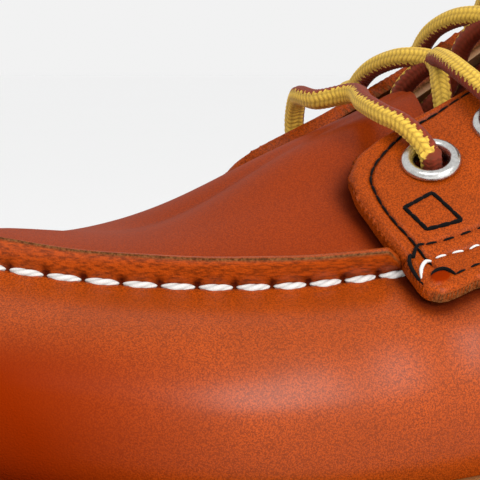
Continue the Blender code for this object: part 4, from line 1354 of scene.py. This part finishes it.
# Welt from its lower outer corner in: distance in mm, height in thicknesses, how dark
# its painted shade is (in its stitch dents, its groove and its corners), and 1 where its
# stitches dent it
WELT = table("inwards up dark marked", [
    (0.0, 0.0, 0.3, 0),
    (0.0, 0.5, 0.0, 0),
    (0.0, 0.85, 0.2, 0),
    (0.5, 1.0, 0.5, 1),
    (1.1, 1.0, 1.0, 1),
    (1.9, 1.0, 0.5, 0),
    (2.5, 0.86, 0.9, 0),
    (3.1, 1.0, 0.2, 0),
    (4.2, 1.0, 0.0, 0),
])
WELT_STITCHES = 233


class SHOE_OT_sole(bpy.types.Operator):
    """Rubber wedge sole with its groove and tread, and the welt over it"""
    bl_idname = "shoe.sole"
    bl_label = "Sole and welt"

    def execute(self, context):
        turn = ring_run(560)
        heights = SOLE_SIDE["height"]
        depths = SOLE_SIDE["inset"] * np.where(heights == 0, SOLE_CHAMFER, SOLE_GROOVE)
        fine = np.unique(np.concatenate([np.linspace(0, 1, 26), heights]))
        levels = []
        for height, depth in zip(fine, np.interp(fine, heights, depths)):
            plan = outline(turn, depth)
            bottom, top = sole_bottom(plan[:, 0]), sole_top(plan[:, 0])
            levels.append(np.column_stack([plan, bottom + (top - bottom) * height]))
        plan = outline(turn, 6 * MM)
        levels.append(np.column_stack([plan, sole_top(plan[:, 0])]))
        # Painted shade in the groove round the sole's side
        dark = np.append(np.interp(fine, (0.64, 0.70, 0.76, 0.82), (0, 1, 1, 0)), 0)
        painted_shade = np.tile(dark, (len(turn), 1)) * 0.45
        side = np.array(levels).transpose(1, 0, 2)
        mesh = lay("outsole_rubber", side, {"painted_shade": painted_shade}, closed_columns=True)
        finish = rubber_finish()
        piece("outsole_rubber", mesh, finish, ["outsole"])
        self.tread(finish)
        self.welt()
        return {"FINISHED"}

    def tread(self, finish):
        """Shallow ribs under the sole, their faces in the sole's flat underside."""
        pitch, rib, tall, margin = 7.0 * MM, 4.4 * MM, 0.7 * MM, 8 * MM
        beside = np.array([-0.002, 0, 0.002])
        bm = bmesh.new()
        for x in np.arange(-SOLE_LENGTH / 2 + margin, SOLE_LENGTH / 2 - margin, pitch):
            t = float(column(float(sole_share(x))))
            ends = [outline(middle + beside, 4 * MM)[1, 1] for middle in (t, 2 - t)]
            low, high = sorted(ends)
            if high - low < 6 * MM:
                continue
            made = bmesh.ops.create_cube(bm, size=1)
            for v in made["verts"]:
                px = x + v.co.x * rib
                pz = float(sole_bottom(px)) + tall * (0.5 + v.co.z)
                v.co = (px, low + (v.co.y + 0.5) * (high - low), pz)
            edges = list({e for v in made["verts"] for e in v.link_edges})
            bmesh.ops.bevel(bm, geom=edges, offset=0.2 * MM, segments=2, affect="EDGES", profile=0.5,
                            material=-1)
        piece("sole_tread", mesh_of(bm, "sole_tread"), finish)

    def welt(self):
        """Strip with a row of stitches, from the sole's side in to the upper."""
        turn = ring_run(700)
        low, _ = reach(turn)
        plan = outline(turn, WELT_INSET)
        inner = surface(turn, np.stack([low, low + WELT_THICKNESS], axis=1), CLEARANCE)
        floor_out = sole_top(plan[:, 0]) + CLEARANCE
        floor_in = sole_top(inner[:, 0, 0]) + CLEARANCE
        notch = 0.5 + 0.5 * np.cos(2 * np.pi * np.arange(len(turn)) / len(turn) * WELT_STITCHES)
        inward = unit(inner[:, 1, :2] - plan)
        width = np.linalg.norm(inner[:, 1, :2] - plan, axis=1)
        rows, dark, cut = [], [], []
        for along_in, up, shade_row, marked in zip(*WELT.values()):
            share = np.minimum(along_in * MM / width, 0.9)
            level = floor_out + (floor_in - floor_out) * share + WELT_THICKNESS * up
            level = level - 0.22 * MM * notch * marked
            rows.append(np.column_stack([plan + inward * (share * width)[:, None], level]))
            dark.append(shade_row * (0.25 + 0.75 * notch if marked else 0.4 + 0 * notch))
            cut.append(np.full(len(turn), 1.0 if up < 0.9 else 0.0))
        rows.append(np.column_stack([inner[:, 1, :2], floor_in + WELT_THICKNESS]))
        rows.append(np.column_stack([inner[:, 0, :2], floor_in]))
        # Painted shade in the corner where the welt meets the upper
        dark += [0.8 + 0 * notch, 0 * notch]
        cut += [0 * notch, 0 * notch]
        values = {"painted_shade": np.array(dark).T * 0.6, "raw": np.array(cut).T}
        mesh = lay("welt_leather", np.array(rows).transpose(1, 0, 2), values, True, True)
        edge_tone = colours().raw_edge
        leather_piece("welt_leather", mesh, "welt", times(edge_tone, 1.05),
                      times(edge_tone, 0.3))


class SHOE_OT_insole(bpy.types.Operator):
    """Finish of the insole inside the shoe"""
    bl_idname = "shoe.insole"
    bl_label = "Insole"

    def execute(self, context):
        lining = colours().lining
        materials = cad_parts["insole"].data.materials
        materials.clear()
        materials.append(leather("insole_leather", times(lining, 1.05), times(lining, 0.4)))
        return {"FINISHED"}


def eyelet_places():
    """For each eyelet: its name, the middle of its seat, the way that it faces, depth."""
    found = []
    for side in (-1, 1):
        for number in range(EYELET_PAIRS):
            share = np.array([FIRST_EYELET - number * EYELET_PITCH / SOLE_LENGTH])
            turn = turn_at(share, side)
            _, high = reach(turn)
            distance = (high - FACING_GAP - EYELET_INSET)[:, None]
            seat = stand_off(turn, distance) + QUARTER_THICKNESS
            middle = surface(turn, distance, seat)[0, 0]
            facing = normals(turn, distance)[0, 0]
            name = f"{'outer' if side < 0 else 'inner'}_{number + 1}"
            found.append((name, middle, facing, float(seat[0, 0])))
    return found


class SHOE_OT_eyelets(bpy.types.Operator):
    """Rolled metal eyelets"""
    bl_idname = "shoe.eyelets"
    bl_label = "Eyelets"

    def execute(self, context):
        finish = metal_finish()
        for place, middle, facing, seat in eyelet_places():
            name = f"eyelet_{place}_metal"
            profile = self.profile(seat + WALL + CLEARANCE)
            bm = bmesh.new()
            corners = [bm.verts.new((x, 0, z)) for x, z in profile]
            edges = [bm.edges.new(pair) for pair in zip(corners, corners[1:] + corners[:1])]
            bmesh.ops.spin(bm, geom=corners + edges, cent=(0, 0, 0), axis=(0, 0, 1), angle=2 * math.pi,
                           steps=56, use_merge=True)
            bmesh.ops.remove_doubles(bm, verts=bm.verts, dist=1e-7)
            bmesh.ops.recalc_face_normals(bm, faces=bm.faces)
            turned = Vector(facing).to_track_quat("Z", "Y").to_matrix().to_4x4()
            bmesh.ops.transform(bm, matrix=turned, verts=bm.verts)
            bmesh.ops.translate(bm, vec=Vector(middle), verts=bm.verts)
            piece(name, mesh_of(bm, name), finish, [f"eyelet_{place}"])
        return {"FINISHED"}

    def profile(self, depth):
        """Half section of an eyelet: its dome, its bore and its barrel of a depth."""
        flange, barrel, bore = EYELET_FLANGE / 2, EYELET_BARREL / 2, EYELET_BORE / 2
        centre, wide = (flange + bore) / 2, (flange - bore) / 2
        seat = CLEARANCE * 0.5
        dome = [(centre + wide * math.cos(a), seat + (EYELET_DOME - seat) * math.sin(a))
                for a in np.linspace(0, math.pi * 0.93, 15)]
        return dome + [(bore, 0.0), (bore, -depth * 0.5), (bore, -depth),
                       (bore + 0.3 * (barrel - bore), -depth - 0.1 * MM), (barrel, -depth),
                       (barrel, -depth * 0.5), (barrel, 0.0), (barrel + 0.3 * MM, CLEARANCE * 0.3)]


def smooth_line(knots, step):
    """Points at even steps along a smooth curve through knots."""
    knots = np.asarray(knots, dtype=float)
    run = run_of(knots)
    fine = np.linspace(0, run[-1], max(len(knots) * 12, 40))
    dense = np.stack([cubic(fine, run, knots[:, axis]) for axis in range(knots.shape[1])], axis=1)
    length = run_of(dense[:, :3])
    even = np.linspace(0, length[-1], max(int(round(length[-1] / step)), 3) + 1)
    return np.stack([np.interp(even, length, row) for row in dense.T], axis=1), even


def carried(line, up):
    """Frames along a line that turn as little as they can: the way on and two sides."""
    way = unit(np.gradient(line, axis=0))
    side = np.empty_like(way)
    ahead = np.cross(way[0], up)
    side[0] = ahead / np.linalg.norm(ahead)
    for i in range(1, len(way)):
        kept = side[i - 1] - way[i] * np.dot(side[i - 1], way[i])
        side[i] = kept / np.linalg.norm(kept)
    return way, side, np.cross(side, way)


def strand_knots(first, side):
    """Middle line of a strand from inside one eyelet to inside the next of the other
    facing."""
    start, end = [(0.0, -1.0, 0.9), (0.0, -1.0, -0.45)], [(1.0, 1.0, 0.55), (1.0, 1.0, -0.4)]
    return place_knots(np.concatenate([start, np.column_stack(list(CROSSING.values())), end]), first, side)


def bar_knots():
    """Middle line of the bar, from inside one foremost eyelet to inside the other."""
    rows = np.column_stack(list(BAR.values()))[2:-2] * (1, 1, 1.03)
    entry = [(0.06, -1.05, -0.9), (0.03, -1.02, -0.1), (-0.02, -0.95, 0.72)]
    leave = [(along_it, -across, level) for along_it, across, level in reversed(entry)]
    return place_knots(np.concatenate([entry, rows, leave]), 0, 1)


def place_knots(rows, first, side):
    """Points of a lace's route: along, across and level as in the tables, from an eyelet."""
    along_it, across, level = rows.T
    share = FIRST_EYELET - (first + along_it) * EYELET_PITCH / SOLE_LENGTH
    across = side * across * (FACING_GAP + EYELET_INSET)
    turn = turn_at(share, across)
    _, high = reach(turn)
    clear = 2 * CLEARANCE + LACE_DIAMETER / 2
    on_facing = stand_off(turn, (high - np.abs(across))[:, None])[:, 0] + QUARTER_THICKNESS + clear
    return over_spine(share, across, level * np.where(level > 0, on_facing, WALL + clear))


def round_it(line, side, up, angle, radius):
    """Points round a line, at angles between its two sides."""
    spread = side[:, None] * np.cos(angle)[None, :, None] + up[:, None] * np.sin(angle)[None, :, None]
    return line[:, None] + spread * radius[..., None]


def braid(name, knots, step, sides, gold_way, at, twist=LACE_TWIST):
    """A round braided cord in two colours: ribs slant up one column and down the next.
    Its gold half lies on the side gold_way at a share of its run, and twist turns it."""
    columns_round = 8
    rib_pitch, tooth_pitch = 0.95 * MM, 1.35 * MM
    line, run = smooth_line(knots, step)
    _, side, up = carried(line, np.array([0.0, 0.0, 1.0]))
    angle = np.linspace(0, 2 * np.pi, sides, endpoint=False)
    turnwise = (angle / (2 * np.pi) * columns_round)[None, :] + 0 * run[:, None]
    within = turnwise - np.floor(turnwise)
    odd = np.mod(np.floor(turnwise), 2)
    phase = np.mod(run[:, None] / rib_pitch + np.where(odd == 0, 1.0, -1.0) * within * 0.75 + 0.5 * odd, 1.0)
    rib = np.sqrt(np.clip(1 - (2 * phase - 1) ** 2, 0, 1))
    bulge = 1 - 0.5 * (2 * within - 1) ** 2
    points = round_it(line, side, up, angle, LACE_DIAMETER / 2 * (0.90 + 0.12 * rib * bulge))
    gold_way = unit(np.array(gold_way, dtype=float))
    start = int(len(line) * at)
    middle = math.atan2(np.dot(up[start], gold_way), np.dot(side[start], gold_way))
    turned = (run - run[start])[:, None] * twist
    facing = np.mod((angle[None] - middle + turned) / (2 * np.pi) + 0.25, 1.0)
    tooth = (np.mod(run[:, None] / tooth_pitch, 1.0) - 0.5) * 0.075
    gold = np.where(np.abs(np.mod(facing + tooth - 0.25 + 0.5, 1.0) - 0.5) < 0.25, 1.0, 0.0)
    return lay(name, points, {"gold": gold, "depth": 1 - rib * bulge}, closed_rows=True, merge=1e-6)


class SHOE_OT_lace(bpy.types.Operator):
    """Braided two-colour lace, run through the eyelets"""
    bl_idname = "shoe.lace"
    bl_label = "Lace"

    def execute(self, context):
        finish = lace_finish()
        mesh = braid("lace_bar_braid", bar_knots(), 0.13 * MM, 40, (-0.9, -0.1, -0.75), 0.08, BAR_TWIST)
        piece("lace_bar_braid", mesh, finish, ["lace_bar"])
        for number in range(EYELET_PAIRS - 1):
            node = f"lace_crossing_{number + 1}"
            step, sides = (0.15 * MM, 40) if number == 0 else (0.24 * MM, 32)
            for side, label, at in ((-1, "outer", 0.8), (1, "inner", 0.3)):
                name = f"{node}_{label}"
                mesh = braid(name, strand_knots(number, side), step, sides, (0.0, 0.45, 0.9), at)
                piece(name, mesh, finish, [node])
        return {"FINISHED"}


def join_meshes(name, meshes):
    """One mesh that holds several."""
    bm = bmesh.new()
    for mesh in meshes:
        bm.from_mesh(mesh)
        bpy.data.meshes.remove(mesh)
    return mesh_of(bm, name)


def thread(line, out, radius, sides=7, plies=0, taper=0.35):
    """A short thread that thins at both ends. Plies are the cords it is twisted from."""
    thinnest = 0.08
    run = run_of(line)
    share = run / run[-1]
    way = unit(np.gradient(line, axis=0))
    side = unit(np.cross(way, out))
    angle = np.linspace(0, 2 * np.pi, sides, endpoint=False)
    body = thinnest + (1 - thinnest) * np.clip(4 * share * (1 - share), 0, 1) ** taper
    width = radius * body[:, None] * np.ones(sides)
    depth = np.zeros_like(width)
    if plies:
        lobe = np.abs(np.cos(0.5 * plies * (angle[None] - PLY_TWIST * run[:, None])))
        width = width * (0.80 + 0.24 * lobe**0.6)
        depth = 1 - lobe**0.7
    points = round_it(line, side, np.cross(side, way), angle, width)
    return lay("thread", points, {"depth": depth}, closed_rows=True, merge=1e-7)


class SHOE_OT_moc_stitches(bpy.types.Operator):
    """White twisted cord stitches along the raised seam"""
    bl_idname = "shoe.moc_stitches"
    bl_label = "Moc stitches"

    def execute(self, context):
        size, tones = sizes(), colours()
        rows, past_its_holes = 27, 1.06
        radius = size.stitch_thickness / 2
        end = float(-seam_run(column(np.array([RIDGE_END])))[0]) + 2 * MM
        count = int(end // size.stitch_pitch)
        u = np.linspace(-0.5, 0.5, rows)
        bow = np.cos(np.pi * u)
        rise = radius * 0.05 + 0.12 * MM * bow
        aside = (0.30 - 0.62 * bow) * MM
        made = []
        for number in range(-count, count + 1):
            turn = seam_turn((number + 0.5) * size.stitch_pitch + u * size.stitch_length * past_its_holes)
            stand = normals(turn, np.full((len(turn), 1), SEAM_WIDTH / 2))[:, 0]
            line = along(turn, aside[:, None])[:, 0] + stand * rise[:, None]
            made.append(thread(line, stand, radius, sides=26, plies=3, taper=0.62))
        finish = cord_finish("white_cord", tones.white_cord, times(tones.white_cord, 0.30), 0.55)
        piece("moc_seam_cord", join_meshes("moc_seam_cord", made), finish)
        return {"FINISHED"}


def on_quarter(side, share, up, lift):
    """Points over a quarter's face, with the ways out of it."""
    turn = turn_at(share, side)
    distance = up[:, None]
    offset = stand_off(turn, distance) + QUARTER_THICKNESS + lift[:, None]
    return surface(turn, distance, offset)[:, 0], normals(turn, distance)[:, 0]


def stitch_row(side, line, pitch, length, sunk=0.0):
    """Threads along a line over a quarter, one for each pitch."""
    face, out = line_on_quarter(side, line, 0.15 * MM, -sunk)
    run = run_of(face)
    radius = sizes().thread_thickness / 2
    count = 9
    bow = np.sin(np.linspace(0, np.pi, count))
    made = []
    for start in np.arange(0, run[-1] - length, pitch):
        at = start + np.linspace(0, length, count)
        middle, way_out = (np.stack([np.interp(at, run, row) for row in grid.T], axis=1)
                           for grid in (face, out))
        way_out = unit(way_out)
        middle = middle + way_out * ((bow * 0.75 - 0.45) * radius)[:, None]
        made.append(thread(middle, way_out, radius))
    return made


class SHOE_OT_threads(bpy.types.Operator):
    """Sewing thread: edge stitches, rows across the quarters, tacks and wraps"""
    bl_idname = "shoe.threads"
    bl_label = "Sewing threads"

    def execute(self, context):
        tones = colours()
        made = {"black": [], "white": []}
        for side in (-1, 1):
            made["black"] += stitch_row(side, EDGE_LINE, 2.35 * MM, 2.42 * MM, sunk=0.16 * MM)
            made["black"] += self.tack(side)
            for tone, line in ROWS:
                made[tone] += stitch_row(side, line, 3.0 * MM, 2.0 * MM)
            for tone, line in WRAPS:
                face, out = line_on_quarter(side, line, 0.2 * MM)
                made[tone].append(thread(face, out, sizes().thread_thickness * 0.85))
            made["black"] += self.facing_and_collar(side)
        for tone, colour in (("black", tones.black_thread), ("white", tones.white_cord)):
            name = f"{tone}_sewing_thread"
            finish = cord_finish(f"{tone}_thread", colour, times(colour, 0.4), 0.5, 0.03)
            piece(name, join_meshes(name, made[tone]), finish)
        return {"FINISHED"}

    def tack(self, side):
        """Square of thick thread at the lobe's front, three stitches a side."""
        made = []
        count = 13
        radius = sizes().thread_thickness * 0.92
        lift = (0.20 * np.sin(np.linspace(0, np.pi, count)) ** 0.5 - 0.10) * MM
        corners = np.column_stack([BAR_TACK["share"], BAR_TACK["up"] * MM])
        for first, last in zip(corners, corners[1:]):
            for start, end in ((-0.02, 0.36), (0.32, 0.70), (0.66, 1.02)):
                share, up = first[:, None] + (last - first)[:, None] * np.linspace(start, end, count)
                face, out = on_quarter(side, share, up, lift)
                made.append(thread(face, out, radius, sides=14, plies=2, taper=0.2))
        return made

    def facing_and_collar(self, side):
        """Edge stitches that follow a quarter's facing and collar."""
        share = np.concatenate([np.linspace(0.654, 0.50, 40), np.linspace(0.495, 0.02, 90)])
        up = (edge(turn_at(share, side)) - sizes().border_width) / MM
        return stitch_row(side, {"share": share, "up": up}, 2.5 * MM, 2.2 * MM, sunk=0.22 * MM)


# Camera: aim, distance and the photo's angle to the shoe
CAMERA_AIM = (-0.0787, -0.0330, 0.05525)
CAMERA_DISTANCE = 0.350
CAMERA_SWING = 24.0
CAMERA_TILT = 4.54
CAMERA_LENS = 175.1

SKY = (0.887, 0.887, 0.887)
SKY_STRENGTH = 1.0
SUN_FROM = (-0.45, -0.55, 0.75)
SUN_STRENGTH = 0.62
SUN_WIDTH = 30  # degrees of the sky
FLOOR_RADIUS = 9.0
# Soft lights: name, place, aim, width and depth in metres, power in watts
LIGHTS = [
    ("key", (0.08, -0.62, 0.32), (-0.07, -0.02, 0.03), 0.20, 0.44, 3.4),
]


class SHOE_OT_stage(bpy.types.Operator):
    """Floor, soft lights and the camera"""
    bl_idname = "shoe.stage"
    bl_label = "Stage"

    def execute(self, context):
        bm = bmesh.new()
        bmesh.ops.create_circle(bm, cap_ends=True, segments=96, radius=FLOOR_RADIUS)
        floor = put_in_scene("studio_floor", mesh_of(bm, "studio_floor"))
        floor.data.materials.append(floor_finish())
        world = bpy.data.worlds.new("studio")
        context.scene.world = world
        world.use_nodes = True
        sky = world.node_tree.nodes["Background"]
        sky.inputs["Color"].default_value = (*SKY, 1)
        sky.inputs["Strength"].default_value = SKY_STRENGTH
        sun = bpy.data.lights.new("sun", "SUN")
        sun.energy, sun.angle = SUN_STRENGTH, math.radians(SUN_WIDTH)
        self.aim(put_in_scene("sun", sun), -Vector(SUN_FROM))
        for name, place, aim, width, depth, power in LIGHTS:
            data = bpy.data.lights.new(name, "AREA")
            data.shape = "RECTANGLE"
            data.size, data.size_y, data.energy = width, depth, power
            lamp = put_in_scene(name, data)
            lamp.location = place
            self.aim(lamp, Vector(aim) - Vector(place))
        self.camera(context)
        context.scene.view_settings.view_transform = "Standard"
        return {"FINISHED"}

    def aim(self, thing, way):
        """Turns a light or a camera to look a way."""
        thing.rotation_euler = way.to_track_quat("-Z", "Y").to_euler()

    def camera(self, context):
        """The camera at the photo's angle to the shoe."""
        swing, tilt = math.radians(CAMERA_SWING), math.radians(CAMERA_TILT)
        level = math.cos(tilt)
        forward = Vector((math.sin(swing) * level, math.cos(swing) * level, -math.sin(tilt)))
        data = bpy.data.cameras.new("camera")
        data.lens = CAMERA_LENS
        data.clip_start = 0.02
        data.clip_end = 60
        camera = put_in_scene("camera", data)
        camera.location = Vector(CAMERA_AIM) - forward * CAMERA_DISTANCE
        self.aim(camera, forward)
        context.scene.camera = camera


class SHOE_PT_panel(bpy.types.Panel):
    """The pieces of the shoe"""
    bl_idname = "SHOE_PT_panel"
    bl_label = "Moc toe oxford"
    bl_space_type = "VIEW_3D"
    bl_region_type = "UI"
    bl_category = "Shoe"

    def draw(self, context):
        for operator in OPERATORS:
            self.layout.operator(operator.bl_idname)
        for group in (context.scene.shoe_sizes, context.scene.shoe_colours):
            for key in group.__annotations__:
                self.layout.prop(group, key)


OPERATORS = (SHOE_OT_stage, SHOE_OT_upper, SHOE_OT_quarters, SHOE_OT_backstay, SHOE_OT_tongue, SHOE_OT_sole,
             SHOE_OT_insole, SHOE_OT_eyelets, SHOE_OT_lace, SHOE_OT_moc_stitches, SHOE_OT_threads)
CLASSES = (ShoeSizes, ShoeColours, *OPERATORS, SHOE_PT_panel)


def register():
    for made in CLASSES:
        bpy.utils.register_class(made)
    bpy.types.Scene.shoe_sizes = bpy.props.PointerProperty(type=ShoeSizes)
    bpy.types.Scene.shoe_colours = bpy.props.PointerProperty(type=ShoeColours)


def unregister():
    del bpy.types.Scene.shoe_colours
    del bpy.types.Scene.shoe_sizes
    for made in reversed(CLASSES):
        bpy.utils.unregister_class(made)


def main():
    register()
    bpy.ops.shoe.stage()
    bpy.ops.shoe.upper()
    bpy.ops.shoe.quarters()
    bpy.ops.shoe.backstay()
    bpy.ops.shoe.tongue()
    bpy.ops.shoe.sole()
    bpy.ops.shoe.insole()
    bpy.ops.shoe.eyelets()
    bpy.ops.shoe.lace()
    bpy.ops.shoe.moc_stitches()
    bpy.ops.shoe.threads()


if __name__ == "__main__":
    main()
